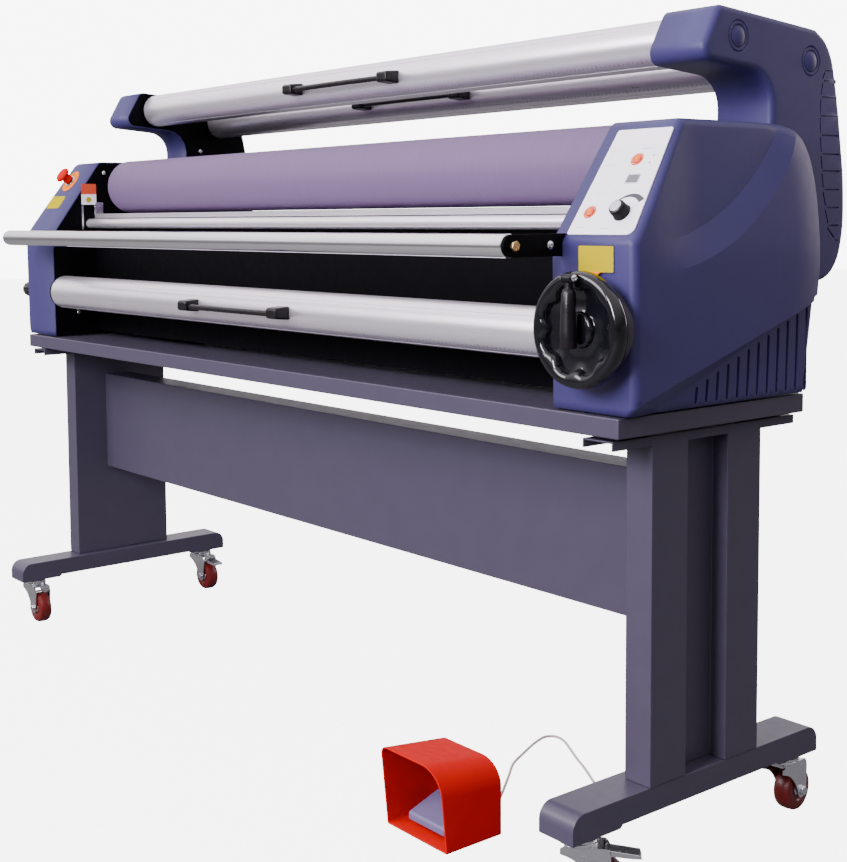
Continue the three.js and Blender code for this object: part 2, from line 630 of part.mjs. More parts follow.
function keypad() {
  const { left, rightLow, rightHigh, low, high, thick } = KEYPAD;
  const chamfer = 4;
  const outline = shapeOf([
    [left + chamfer, low], [rightLow - chamfer, low], [rightLow, low + chamfer],
    [rightHigh, high - chamfer], [rightHigh - chamfer, high],
    [left + chamfer, high], [left, high - chamfer], [left, low + chamfer],
  ]);
  const sheet = new THREE.ExtrudeGeometry(outline, { depth: thick, bevelEnabled: false });
  const hole = (x, up, radius) => rod('z', radius, [-5, 5]).translate(x, up, 0);
  const buttonHoles = Object.values(BUTTONS).map(({ x, up }) => hole(x, up, BUTTON.radius + 0.4));
  const knobHole = hole(SPEED_KNOB.x, SPEED_KNOB.up, SPEED_KNOB.spindle + 0.8);
  return cut(sheet.translate(0, 0, GAP), knobHole, ...buttonHoles);
}

function speedKnob() {
  const { x, up, radius, height, spindle } = SPEED_KNOB;
  const base = KEYPAD.thick + 2 * GAP;
  const profile = [
    [-12, 0], [-12, spindle], [base, spindle], [base, radius + 1], [base + 3, radius],
    [base + height - 2, radius - 1], [base + height, radius - 3], [base + height, 0],
  ];
  const pointer = block([-1, 1], [4, radius - 1.5], [base + height - 1, base + height + 0.6]);
  return join(turned('z', profile, 24), pointer).translate([x, up, 0]);
}

function pushButton({ x, up }) {
  const { radius, proud, stem } = BUTTON;
  const profile = [[-14, 0], [-14, stem], [-0.5, stem], [-0.5, radius], [proud - 1, radius], [proud, radius - 1],
    [proud, 0]];
  return turned('z', profile, 20).translate(x, up, 0);
}

function emergencyStop() {
  const { x, up, cap, neck, stem } = ESTOP;
  const profile = [
    [-25, 0], [-25, stem], [6, stem], [6, neck], [22, neck], [25, cap - 2], [29, cap], [33, cap - 3],
    [36, cap - 9], [36, 0],
  ];
  return turned('z', profile, 20).translate(x, up, 0);
}

// Drawn on the right; the real knob is at the left end of the lower front shaft.
function tensionKnob() {
  const { radius, length, from } = TENSION_KNOB;
  const profile = [
    [900, 0], [900, 5], [from + 2, 5], [from + 2, radius - 5], [from + 10, radius], [from + length - 6, radius],
    [from + length, radius - 5], [from + length, 0],
  ];
  const { y, z } = SHAFT_AXES.lower_front_shaft;
  return turned('x', profile, 24).translate(0, y, z);
}

// ---------------------------------------------------------------- foot switch

// Lowers a hood towards its back by the share GUARD.fall of its height.
function lowered(geometry) {
  const points = geometry.attributes.position;
  for (let i = 0; i < points.count; i += 1) {
    const share = (points.getY(i) - GUARD.front) / (GUARD.back - GUARD.front);
    points.setZ(i, points.getZ(i) * (1 - GUARD.fall * share));
  }
  return geometry;
}

// A hood whose front opening is raked, with the pedal's hinge ears and pin inside.
function guard() {
  const { left, right, height, front, rake, back, wall } = GUARD;
  const section = (w) => {
    const outline = new THREE.Shape();
    outline.moveTo(left + w, w);
    outline.lineTo(right - w, w).lineTo(right - w, height - 45);
    outline.absarc(right - 45, height - 45, 45 - w, 0, Math.PI / 2);
    outline.lineTo(left + 14, height - w);
    outline.absarc(left + 14, height - 14, 14 - w, Math.PI / 2, Math.PI);
    return outline;
  };
  const hood = cut(
    lowered(alongY(section(0), [front - rake - 5, back])),
    lowered(alongY(section(wall), [front - rake - 9, back - wall])),
  );
  const inFront = alongX(shapeOf([
    [front, -1], [front - rake, height + 1], [front - rake - 50, height + 1], [front - rake - 50, -1],
  ]), [left - 20, right + 20]);
  const cableHole = rod('y', CABLE.radius + 1, [back - 10, back + 10], 12).translate(638, 0, 12);
  const { left: pedalLeft, right: pedalRight, hingeY, hingeZ } = PEDAL;
  const ear = (x) => block([x, x + 5], [hingeY - 6, hingeY + 6], [wall - 1, hingeZ + 7]);
  const pin = rod('x', 2.5, [pedalLeft - 6, pedalRight + 6], 12).translate(0, hingeY, hingeZ);
  return join(cut(hood, inFront, cableHole), ear(pedalLeft - 7), ear(pedalRight + 2), pin);
}

function pedal() {
  const { left, right, hingeY, hingeZ } = PEDAL;
  const outline = new THREE.Shape();
  outline.moveTo(-280, 13);
  outline.lineTo(hingeY - 12, 5).lineTo(hingeY + 5, 5).lineTo(hingeY + 5, 44);
  outline.quadraticCurveTo(hingeY - 2, 50, hingeY - 12, 47);
  outline.lineTo(-276, 27).quadraticCurveTo(-284, 23, -284, 17);
  const pinHole = rod('x', 2.9, [left - 5, right + 5], 12).translate(0, hingeY, hingeZ);
  return cut(alongX(outline, [left, right]), pinHole);
}

// The cable drops from its gland under the tray and lies on the floor up to the foot switch.
const CABLE_ROUTE = [
  [792, 190, 701.7], [792, 190, 560], [792, 190, 400], [792, 190, 250], [792, 190, 120], [791, 189, 50],
  [786, 182, 16], [776, 166, 4.5], [765, 144, 3.2], [754, 118, 3.2], [742, 96, 3.2], [724, 82, 3.2],
  [700, 78, 3.2], [677, 84, 3.2], [658, 94, 3.2], [636, 108, 3.2], [615, 121, 3.2], [570, 146, 3.2],
  [520, 176, 3.2], [492, 191, 3.2], [470, 194, 3.2], [457, 181, 3.2], [460, 158, 3.2], [472, 125, 3.2],
  [491, 83, 3.2], [514, 36, 3.2], [548, -8, 3.2], [579, -48, 3.2], [610, -90, 3.2], [630, -128, 3.4],
  [637, -160, 9], [638, -190, 12],
];

function footswitchCable() {
  const route = new THREE.CatmullRomCurve3(CABLE_ROUTE.map((p) => new THREE.Vector3(...p)));
  const section = new THREE.Shape();
  for (let i = 0; i < CABLE.sides; i += 1) {
    const angle = (2 * Math.PI * i) / CABLE.sides;
    const corner = [CABLE.radius * Math.cos(angle), CABLE.radius * Math.sin(angle)];
    if (i === 0) section.moveTo(...corner);
    else section.lineTo(...corner);
  }
  return new THREE.ExtrudeGeometry(section, { steps: CABLE.steps, extrudePath: route, bevelEnabled: false });
}

function cableGland() {
  const { x, y, bottom, radius } = GLAND;
  const top = TRAY.top - TRAY.sheet - GAP;
  const profile = [
    [bottom, 0], [bottom, radius - 2], [bottom + 8, radius], [top - 6, radius], [top - 6, radius + 3],
    [top, radius + 3], [top, 0],
  ];
  return turned('z', profile, 12).translate(x, y, 0);
}

// ---------------------------------------------------------------- assembly

const machine = new THREE.Group();
machine.position.set(-(BOX_X[0] + BOX_X[1]) / 2, -(BOX_Y[0] + BOX_Y[1]) / 2, 0);

machine.add(
  piece('base_tray', tray(), FRAME_PAINT),
  piece('cross_panel', crossPanel(), FRAME_PAINT),
);

for (const [side, hand] of [[-1, 'left'], [1, 'right']]) {
  machine.add(
    piece(`${hand}_leg`, leg(), FRAME_PAINT, side),
    piece(`${hand}_foot`, foot(), FRAME_PAINT, side),
    piece(`${hand}_side_plate`, sidePlate(), BLACK_STEEL, side),
    piece(`${hand}_end_cover`, side > 0 ? rightCover() : leftCover(), COVER_PLASTIC, side),
    piece(`${hand}_arm_cover`, armCover(), COVER_PLASTIC, side),
    piece(`${hand}_bearing_block`, bearingBlock(), STEEL, side),
    piece(`${hand}_lift_screw`, liftScrew(), STEEL, side),
    piece(`${hand}_guide_bracket`, guideBracket(), BLACK_STEEL, side),
  );
}

function caster(name, x, y, heading, hasBrake) {
  const group = new THREE.Group();
  group.position.set(x, y, 0);
  group.rotation.z = THREE.MathUtils.degToRad(heading);
  group.add(
    piece(`${name}_caster_fork`, casterFork(), ZINC),
    piece(`${name}_caster_wheel`, casterWheel(), WHEEL_RED),
  );
  if (hasBrake) group.add(piece(`${name}_caster_brake`, brakeLever(), ZINC));
  return group;
}

machine.add(
  caster('front_left', -CASTER.x, -CASTER.y, CASTER_HEADING.frontLeft, false),
  caster('rear_left', -CASTER.x, CASTER.y, CASTER_HEADING.rearLeft, true),
  caster('front_right', CASTER.x, -CASTER.y, CASTER_HEADING.frontRight, true),
  caster('rear_right', CASTER.x, CASTER.y, CASTER_HEADING.rearRight, false),
);

machine.add(
  piece('infeed_table', infeedTable(), ALUMINIUM),
  piece('front_cover', frontCover(), BLACK_STEEL),
  piece('rear_cover', rearCover(), FRAME_PAINT),
  piece('power_inlet', powerInlet(), BLACK_PLASTIC),
  piece('gearmotor', gearmotor(), MOTOR_GREY),
  piece('control_box', controlBox(), MOTOR_GREY),
  piece('upper_roller_core', rollerCore(NIP.upperZ, rollerEnd.upper), STEEL),
  piece('upper_roller_sleeve', rollerSleeve(NIP.upperZ), ROLLER_RUBBER),
  piece('lower_roller_core', rollerCore(NIP.lowerZ, rollerEnd.lower), STEEL),
  piece('lower_roller_sleeve', rollerSleeve(NIP.lowerZ), ROLLER_RUBBER),
  piece('cross_shaft', crossShaft(), STEEL),
  piece('handwheel', handwheel(), BLACK_PLASTIC),
  piece('crank_handle', crankHandle(), BLACK_PLASTIC),
  piece('handwheel_boss', handwheelBoss(), BLACK_STEEL),
  piece('idler_tube', idlerTube(), ALUMINIUM),
  piece('front_guide_tube', guideTube(), CHROME),
  piece('tension_knob', tensionKnob(), BLACK_PLASTIC, -1),
);

for (const [name, axis] of Object.entries(SHAFT_AXES)) {
  machine.add(
    piece(name, mediaShaft(axis), ALUMINIUM),
    piece(`${name}_handle`, shaftHandle(axis), BLACK_PLASTIC),
  );
}

const slope = new THREE.Group();
slope.position.set(0, SLOPE.low.y, SLOPE.low.z);
slope.rotation.x = slopeAngle;
slope.add(
  piece('control_panel', keypad(), KEYPAD_WHITE),
  piece('speed_knob', speedKnob(), BLACK_PLASTIC),
  piece('emergency_stop', emergencyStop(), SAFETY_RED, -1),
);
for (const [name, place] of Object.entries(BUTTONS)) {
  slope.add(piece(name, pushButton(place), BUTTON_ORANGE));
}
machine.add(slope);

machine.add(
  piece('footswitch_guard', guard(), SAFETY_RED),
  piece('footswitch_pedal', pedal(), PEDAL_GREY),
  piece('footswitch_cable', footswitchCable(), CABLE_GREY),
  piece('cable_gland', cableGland(), BLACK_PLASTIC),
);

export default machine;
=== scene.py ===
"""Looks of a wide-format cold roll laminator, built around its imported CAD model.

Shapes are drawn in millimetres in the machine's own frame: X to the operator's right, -Y towards the
operator, Z up from the floor, with X = Y = 0 in the middle of the tray. build() takes them to the row
frame in metres. Sizes that a CAD part already holds are read from that part's box.
"""

import json
import math

import bmesh
import bpy
from mathutils import Matrix, Vector
from mathutils.geometry import delaunay_2d_cdt

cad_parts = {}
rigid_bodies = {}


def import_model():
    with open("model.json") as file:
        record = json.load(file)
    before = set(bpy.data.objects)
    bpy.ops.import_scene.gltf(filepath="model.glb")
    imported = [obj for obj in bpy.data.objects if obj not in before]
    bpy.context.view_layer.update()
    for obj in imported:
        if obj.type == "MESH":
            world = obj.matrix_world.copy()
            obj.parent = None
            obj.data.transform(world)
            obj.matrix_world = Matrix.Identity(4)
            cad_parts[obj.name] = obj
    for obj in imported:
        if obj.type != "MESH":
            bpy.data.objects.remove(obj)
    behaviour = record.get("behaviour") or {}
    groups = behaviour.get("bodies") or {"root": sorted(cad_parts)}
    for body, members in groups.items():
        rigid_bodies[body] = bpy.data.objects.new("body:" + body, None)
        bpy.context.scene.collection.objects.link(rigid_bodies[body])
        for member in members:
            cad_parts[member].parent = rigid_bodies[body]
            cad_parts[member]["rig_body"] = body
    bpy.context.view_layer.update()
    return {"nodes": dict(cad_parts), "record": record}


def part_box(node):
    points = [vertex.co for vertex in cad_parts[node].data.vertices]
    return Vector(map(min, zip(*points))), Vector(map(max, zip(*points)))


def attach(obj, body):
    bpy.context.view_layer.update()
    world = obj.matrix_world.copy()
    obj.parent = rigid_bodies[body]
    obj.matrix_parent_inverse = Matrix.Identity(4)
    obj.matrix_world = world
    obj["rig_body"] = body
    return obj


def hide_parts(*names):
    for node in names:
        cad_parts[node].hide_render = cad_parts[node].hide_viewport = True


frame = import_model()

MM = 0.001
tray_low, tray_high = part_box("base_tray")
ORIGIN = Vector(((tray_low.x + tray_high.x) / 2, (tray_low.y + tray_high.y) / 2, 0))
TO_ROW = Matrix.Translation(ORIGIN) @ Matrix.Diagonal((MM, MM, MM, 1))


def place(x, y, z):
    """A machine point, in millimetres, as a point of the row frame."""
    return TO_ROW @ Vector((x, y, z))


def extent(node):
    """A CAD node's lowest and highest corners in machine millimetres."""
    low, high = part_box(node)
    back = TO_ROW.inverted()
    return back @ low, back @ high


def middle(node):
    low, high = extent(node)
    return (low + high) / 2


# ---- camera and cable


def make_camera():
    """The camera stands in front of the machine's right end, level with the infeed table."""
    yaw, pitch, roll = (math.radians(a) for a in (52.57, 4.39, -0.561))
    forward = Vector((-math.sin(yaw) * math.cos(pitch), math.cos(yaw) * math.cos(pitch), -math.sin(pitch)))
    level = Vector((math.cos(yaw), math.sin(yaw), 0))
    upright = level.cross(forward)
    right = math.cos(roll) * level + math.sin(roll) * upright
    up = math.cos(roll) * upright - math.sin(roll) * level
    data = bpy.data.cameras.new("camera")
    data.sensor_width = 36
    data.lens = 58.34
    data.shift_x = 0.0798
    data.shift_y = -0.1262
    data.clip_end = 60
    camera = bpy.data.objects.new("camera", data)
    camera.matrix_world = Matrix.Translation(place(2354.3, -1736.0, 1027.4)) @ Matrix(
        (right, up, -forward)
    ).transposed().to_4x4()
    bpy.context.scene.collection.objects.link(camera)
    bpy.context.scene.camera = camera


make_camera()

# The cable's route in the row frame, in metres: down behind the right leg, over the floor and into the
# foot switch.
CABLE_ROUTE = [
    (0.8093, 0.17095, 0.7017), (0.8093, 0.17095, 0.56), (0.8093, 0.17095, 0.4), (0.8093, 0.17095, 0.25),
    (0.8093, 0.17095, 0.12), (0.8083, 0.16995, 0.05), (0.8033, 0.16295, 0.016), (0.7933, 0.14695, 0.0045),
    (0.7823, 0.12495, 0.0032), (0.7713, 0.09895, 0.0032), (0.7593, 0.07695, 0.0032),
    (0.7413, 0.06295, 0.0032), (0.7173, 0.05895, 0.0032), (0.6943, 0.06495, 0.0032),
    (0.6753, 0.07495, 0.0032), (0.6533, 0.08895, 0.0032), (0.6323, 0.10195, 0.0032),
    (0.5873, 0.12695, 0.0032), (0.5373, 0.15695, 0.0032), (0.5093, 0.17195, 0.0032),
    (0.4873, 0.17495, 0.0032), (0.4743, 0.16195, 0.0032), (0.4773, 0.13895, 0.0032),
    (0.4893, 0.10595, 0.0032), (0.5083, 0.06395, 0.0032), (0.5313, 0.01695, 0.0032),
    (0.5653, -0.02705, 0.0032), (0.5963, -0.06705, 0.0032), (0.6273, -0.10905, 0.0032),
    (0.6473, -0.14705, 0.0034), (0.6543, -0.17905, 0.009), (0.6553, -0.20905, 0.012),
]
CABLE_DIAMETER = 0.005


def make_cable():
    curve = bpy.data.curves.new("footswitch_lead", "CURVE")
    curve.dimensions = "3D"
    curve.bevel_depth = 1.0  # each knot's radius scales it, so the curve's box is no wider than the cable
    curve.bevel_resolution = 4
    curve.resolution_u = 8
    line = curve.splines.new("BEZIER")
    points = [Vector(p) for p in CABLE_ROUTE]
    last = len(points) - 1
    line.bezier_points.add(last)
    for i, (knot, p) in enumerate(zip(line.bezier_points, points)):
        before, after = points[max(i - 1, 0)], points[min(i + 1, last)]
        along = (after - before).normalized()
        knot.co = p
        knot.radius = CABLE_DIAMETER / 2
        knot.handle_left = p - along * (p - before).length / 3
        knot.handle_right = p + along * (after - p).length / 3
    lead = bpy.data.objects.new("footswitch_lead", curve)
    bpy.context.scene.collection.objects.link(lead)
    return lead


cable = make_cable()

# ---- finishes


def ranged(tree, source, start, end, low, high, smooth=True):
    """A node that takes a value in start to end to low to high."""
    node = tree.nodes.new("ShaderNodeMapRange")
    if smooth:
        node.interpolation_type = "SMOOTHSTEP"
    for name, value in (("From Min", start), ("From Max", end), ("To Min", low), ("To Max", high)):
        node.inputs[name].default_value = value
    tree.links.new(source, node.inputs["Value"])
    return node


def finish(
    name, colour, roughness, metallic=0.0, mottle=0.1, mottle_mm=45, grain=0.0, grain_mm=1.2,
    stretch=(1, 1, 1), rough_spread=0.08, coat=0.0, cells=False, specular=0.5,
):
    """A finish whose colour, roughness and relief vary over the surface.

    mottle is the share by which the colour drifts over mottle_mm; grain is the relief's height in
    millimetres at grain_mm; stretch draws both out along an axis, as brushing does.
    """
    material = bpy.data.materials.new(name)
    material.use_nodes = True
    nodes, links = material.node_tree.nodes, material.node_tree.links
    shader = nodes["Principled BSDF"]
    shader.inputs["Metallic"].default_value = metallic
    shader.inputs["Coat Weight"].default_value = coat
    shader.inputs["Coat Roughness"].default_value = 0.12
    shader.inputs["Specular IOR Level"].default_value = specular
    place_node = nodes.new("ShaderNodeTexCoord")
    mapping = nodes.new("ShaderNodeMapping")
    mapping.inputs["Scale"].default_value = [1 / s for s in stretch]
    links.new(place_node.outputs["Object"], mapping.inputs["Vector"])

    def noise(size_mm, detail=3.0):
        node = nodes.new("ShaderNodeTexNoise")
        node.inputs["Scale"].default_value = 1 / (size_mm * MM)
        node.inputs["Detail"].default_value = detail
        links.new(mapping.outputs["Vector"], node.inputs["Vector"])
        return node

    drift = noise(mottle_mm)
    ramp = nodes.new("ShaderNodeValToRGB")
    low = [max(c * (1 - mottle), 0) for c in colour]
    high = [min(c * (1 + mottle), 1) for c in colour]
    ramp.color_ramp.elements[0].position = 0.3
    ramp.color_ramp.elements[0].color = (*low, 1)
    ramp.color_ramp.elements[1].position = 0.7
    ramp.color_ramp.elements[1].color = (*high, 1)
    links.new(drift.outputs["Fac"], ramp.inputs["Fac"])
    links.new(ramp.outputs["Color"], shader.inputs["Base Color"])

    smudge = noise(mottle_mm * 0.37, 5.0)
    smoothest, roughest = max(roughness - rough_spread, 0.03), min(roughness + rough_spread, 1)
    spread = ranged(material.node_tree, smudge.outputs["Fac"], 0.3, 0.7, smoothest, roughest, smooth=False)
    links.new(spread.outputs["Result"], shader.inputs["Roughness"])

    if grain:
        if cells:
            relief = nodes.new("ShaderNodeTexVoronoi")
            relief.inputs["Scale"].default_value = 1 / (grain_mm * MM)
            links.new(mapping.outputs["Vector"], relief.inputs["Vector"])
            height = relief.outputs["Distance"]
        else:
            height = noise(grain_mm, 2.0).outputs["Fac"]
        bump = nodes.new("ShaderNodeBump")
        bump.inputs["Strength"].default_value = 0.6
        bump.inputs["Distance"].default_value = grain * MM
        links.new(height, bump.inputs["Height"])
        links.new(bump.outputs["Normal"], shader.inputs["Normal"])
    return material


FINISHES = {
    "frame_paint": finish(
        "powder_coat", (0.05, 0.043, 0.068), 0.36, mottle=0.03, grain=0.08, grain_mm=2.2, rough_spread=0.03,
        specular=0.35,
    ),
    "cover_plastic": finish(
        "moulded_cover", (0.034, 0.028, 0.108), 0.5, mottle=0.03, grain=0.06, grain_mm=1.1, rough_spread=0.02,
        specular=0.35, cells=True,
    ),
    "black_steel": finish(
        "black_coat", (0.0016, 0.0014, 0.0022), 0.6, mottle=0.15, grain=0.04, grain_mm=1.6, specular=0.04,
    ),
    "aluminium": finish(
        "anodised_extrusion", (0.93, 0.88, 0.95), 0.3, metallic=0.85, mottle=0.03, mottle_mm=5,
        grain=0.006, grain_mm=0.8, stretch=(60, 1, 1), rough_spread=0.03,
    ),
    "chrome": finish("chrome_plate", (0.9, 0.9, 0.92), 0.08, metallic=1, mottle=0.02, rough_spread=0.03),
    "zinc": finish(
        "zinc_plate", (0.72, 0.73, 0.76), 0.24, metallic=1, mottle=0.05, mottle_mm=25, rough_spread=0.05,
    ),
    "steel": finish(
        "ground_steel", (0.5, 0.5, 0.52), 0.35, metallic=1, mottle=0.06, mottle_mm=20, rough_spread=0.04,
    ),
    "core_aluminium": finish("turned_aluminium", (0.62, 0.62, 0.64), 0.32, metallic=1, mottle=0.05),
    "roller_rubber": finish(
        "ground_rubber", (0.125, 0.082, 0.16), 0.66, mottle=0.04, mottle_mm=3, grain=0.02, grain_mm=0.9,
        stretch=(1, 40, 40), specular=0.25,
    ),
    "black_gloss": finish("black_phenolic", (0.004, 0.004, 0.006), 0.1, mottle=0.2, rough_spread=0.04),
    "wheel_red": finish("polyurethane", (0.11, 0.006, 0.005), 0.36, mottle=0.12, mottle_mm=14, specular=0.4),
    "keypad": finish("overlay_film", (0.93, 0.88, 0.95), 0.34, mottle=0.015, grain=0.01, grain_mm=0.5),
    "button_orange": finish("orange_button", (0.62, 0.06, 0.012), 0.3, mottle=0.04, coat=0.3),
    "safety_red": finish(
        "red_moulding", (0.5, 0.0, 0.0), 0.6, mottle=0.03, grain=0.03, grain_mm=1.5, specular=0.08,
    ),
    "pedal_grey": finish("pedal_grain", (0.12, 0.1, 0.2), 0.5, mottle=0.06, grain=0.12, cells=True),
    "cable_grey": finish("cable_jacket", (0.42, 0.35, 0.38), 0.45, mottle=0.04, grain=0.02, grain_mm=1),
    "motor_grey": finish("motor_paint", (0.16, 0.17, 0.19), 0.4, mottle=0.05, grain=0.08, grain_mm=2),
    "box_grey": finish("case_grey", (0.17, 0.18, 0.2), 0.5, mottle=0.04, grain=0.05),
}
YELLOW = finish("yellow_label", (0.42, 0.33, 0.0), 0.9, mottle=0.02, specular=0.0)
# Amber print for labels, legends and the pointer; the same colour is also a painted highlight on the start
# and stop keys' tops.
ORANGE = finish("amber_print_and_painted_highlight", (0.8, 0.2, 0.0), 0.6, mottle=0.03, specular=0.05)
WHITE = finish("white_print", (0.85, 0.84, 0.88), 0.35, mottle=0.03)
PALE_LINE = finish("pale_print", (0.55, 0.52, 0.66), 0.4, mottle=0.05)
DARK_PRINT = finish("dark_print", (0.035, 0.03, 0.045), 0.4, mottle=0.2)
DISPLAY = finish("display_window", (0.09, 0.1, 0.1), 0.12, mottle=0.1, coat=0.8)
BLACK_SATIN = finish(
    "satin_plastic", (0.005, 0.004, 0.005), 0.32, mottle=0.25, grain=0.04, grain_mm=0.9, specular=0.3,
)
BOSS_FINISH = finish("boss_plastic", (0.045, 0.036, 0.05), 0.4, mottle=0.12, grain=0.05)
BRASS = finish("brass_bolt", (0.72, 0.5, 0.2), 0.25, metallic=1, mottle=0.12, mottle_mm=4)

SLOTS = {row["node"]: row["material_slot"] for row in frame["record"]["subparts"]}
for node, slot in SLOTS.items():
    part = frame["nodes"][node]
    part.data.materials.clear()
    part.data.materials.append(FINISHES[slot])
    part.data.shade_smooth()
    part.data.set_sharp_from_angle(angle=math.radians(32))

# ---- making meshes


def build(
    name, shapes, body, slot, stands_for=(), material=None, bevel=0.0, segments=2, matrix=None,
    mirror=False, sharp=34,
):
    """One piece from (vertices, faces) shapes in machine millimetres, welded and put on its body.

    It wears its slot's finish unless it is given another material.
    """
    bm = bmesh.new()
    for vertices, faces in shapes:
        made = [bm.verts.new(v) for v in vertices]
        for face in faces:
            corners = [made[i] for i in face]
            if len(set(corners)) > 2:
                bm.faces.new(corners)
    bmesh.ops.remove_doubles(bm, verts=bm.verts, dist=0.01)
    if matrix is not None:
        bm.transform(matrix)
    if mirror:
        bm.transform(Matrix.Diagonal((-1, 1, 1, 1)))
    bm.transform(TO_ROW)
    bmesh.ops.recalc_face_normals(bm, faces=bm.faces)
    mesh = bpy.data.meshes.new(name)
    bm.to_mesh(mesh)
    bm.free()
    return finished(name, mesh, material or FINISHES[slot], body, stands_for, bevel, segments, sharp)


def finished(name, mesh, material, body, stands_for, bevel, segments, sharp=34):
    mesh.materials.clear()
    mesh.materials.append(material)
    mesh.shade_smooth()
    mesh.set_sharp_from_angle(angle=math.radians(sharp))
    piece = bpy.data.objects.new(name, mesh)
    bpy.context.scene.collection.objects.link(piece)
    if bevel:
        rounding = piece.modifiers.new("rounding", "BEVEL")
        rounding.width = bevel * MM
        rounding.segments = segments
        rounding.limit_method = "ANGLE"
        rounding.angle_limit = math.radians(38)
        weighted = piece.modifiers.new("shading", "WEIGHTED_NORMAL")
        weighted.keep_sharp = True
    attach(piece, body)
    if stands_for:
        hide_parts(*stands_for)
    return piece


def softened(node, bevel, segments=2):
    """A CAD part's own shape with its edges broken, which stands for it."""
    slot = SLOTS[node]
    bm = bmesh.new()
    bm.from_mesh(frame["nodes"][node].data)
    bmesh.ops.remove_doubles(bm, verts=bm.verts, dist=1e-6)
    bmesh.ops.dissolve_limit(bm, angle_limit=math.radians(1), verts=bm.verts, edges=bm.edges)
    mesh = bpy.data.meshes.new(node + "_finished")
    bm.to_mesh(mesh)
    bm.free()
    body = frame["nodes"][node]["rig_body"]
    return finished(mesh.name, mesh, FINISHES[slot], body, [node], bevel, segments)


AXES = {"x": (1, 2, 0), "y": (2, 0, 1), "z": (0, 1, 2)}


def lathe(axis, profile, centre=(0, 0, 0), segments=64, closed=False, radius_at=None):
    """Turns [along, radius] pairs about an axis through centre; radius_at may change a radius with angle."""
    first, second, third = AXES[axis]
    vertices, faces = [], []
    for k in range(segments):
        angle = 2 * math.pi * k / segments
        for i, (along, radius) in enumerate(profile):
            if radius_at:
                radius = radius_at(i, radius, angle)
            point = [0.0, 0.0, 0.0]
            point[first] = centre[first] + radius * math.cos(angle)
            point[second] = centre[second] + radius * math.sin(angle)
            point[third] = centre[third] + along
            vertices.append(point)
    count = len(profile)
    steps = count if closed else count - 1
    for k in range(segments):
        here, there = k * count, ((k + 1) % segments) * count
        for i in range(steps):
            j = (i + 1) % count
            faces.append((here + i, here + j, there + j, there + i))
    return vertices, faces


def prism(axis, outline, low, high):
    """Extrudes an outline along an axis: (y, z) pairs along x, (x, z) along y, (x, y) along z."""
    n = len(outline)
    vertices = []
    for level in (low, high):
        for pair in outline:
            point = list(pair)
            point.insert("xyz".index(axis), level)
            vertices.append(point)
    faces = [tuple(range(n)), tuple(range(2 * n - 1, n - 1, -1))]
    faces += [(i, (i + 1) % n, n + (i + 1) % n, n + i) for i in range(n)]
    return vertices, faces


def block(low, high):
    corners = [(low[0], low[1]), (high[0], low[1]), (high[0], high[1]), (low[0], high[1])]
    return prism("z", corners, low[2], high[2])


def rounded(corners, closed=True, step=12.0, turn=8.0):
    """The outline through (a, b, radius) corners, with an arc in each and points every step millimetres."""
    n = len(corners)
    path = []
    for i, (a, b, radius) in enumerate(corners):
        here = Vector((a, b))
        if not closed and i in (0, n - 1):
            path.append([here])
            continue
        before, after = Vector(corners[i - 1][:2]), Vector(corners[(i + 1) % n][:2])
        back, on = (before - here).normalized(), (after - here).normalized()
        opening = back.angle(on)
        reach = radius / math.tan(opening / 2)
        centre = here + (back + on).normalized() * (radius / math.sin(opening / 2))
        start, end = here + back * reach - centre, here + on * reach - centre
        sweep = start.angle_signed(end)
        count = max(2, round(abs(math.degrees(sweep)) / turn))
        arc = []
        for k in range(count + 1):
            angle = -sweep * k / count
            arc.append(centre + Vector((
                start.x * math.cos(angle) - start.y * math.sin(angle),
                start.x * math.sin(angle) + start.y * math.cos(angle),
            )))
        path.append(arc)
    points = []
    for i, arc in enumerate(path):
        points += arc
        if i == n - 1 and not closed:
            break
        start, end = arc[-1], path[(i + 1) % n][0]
        gaps = max(1, math.ceil((end - start).length / step))
        points += [start.lerp(end, k / gaps) for k in range(1, gaps)]
    return points


def rectangle(low, high, radius):
    (a0, b0), (a1, b1) = low, high
    corners = [(a0, b0, radius), (a1, b0, radius), (a1, b1, radius), (a0, b1, radius)]
    return rounded(corners, step=400, turn=15)


def sweep(path, width, height, sides=16):
    """A bar of oval section that follows a path."""
    vertices, faces = [], []
    points = [Vector(p) for p in path]
    up = Vector((0, 0, 1))
    for i, p in enumerate(points):
        along = (points[min(i + 1, len(points) - 1)] - points[max(i - 1, 0)]).normalized()
        side = along.cross(up).normalized()
        for k in range(sides):
            angle = 2 * math.pi * k / sides
            vertices.append(p + side * (math.cos(angle) * width / 2) + up * (math.sin(angle) * height / 2))
    for i in range(len(points) - 1):
        for k in range(sides):
            a, b = i * sides + k, i * sides + (k + 1) % sides
            faces.append((a, b, b + sides, a + sides))
    faces.append(tuple(range(sides)))
    faces.append(tuple(range(len(vertices) - sides, len(vertices))))
    return vertices, faces


def smoothstep(value):
    value = min(max(value, 0), 1)
    return value * value * (3 - 2 * value)


def inside(point, polygon):
    hit = False
    for i, a in enumerate(polygon):
        b = polygon[i - 1]
        if (a[1] > point[1]) != (b[1] > point[1]):
            if point[0] < (b[0] - a[0]) * (point[1] - a[1]) / (b[1] - a[1]) + a[0]:
                hit = not hit
    return hit


def spline(points, step=9.0):
    """Points about every step millimetres on a smooth curve through the given ones, without the first."""
    p = [Vector(q) for q in points]
    p = [p[0] * 2 - p[1]] + p + [p[-1] * 2 - p[-2]]
    made = []
    for a, b, c, d in zip(p, p[1:], p[2:], p[3:]):
        count = max(1, round((c - b).length / step))
        for k in range(1, count + 1):
            t = k / count
            made.append(
                b + (c - a) * (t / 2) + (a * 2 - b * 5 + c * 4 - d) * (t * t / 2)
                + (b * 3 - a - c * 3 + d) * (t * t * t / 2)
            )
    return made


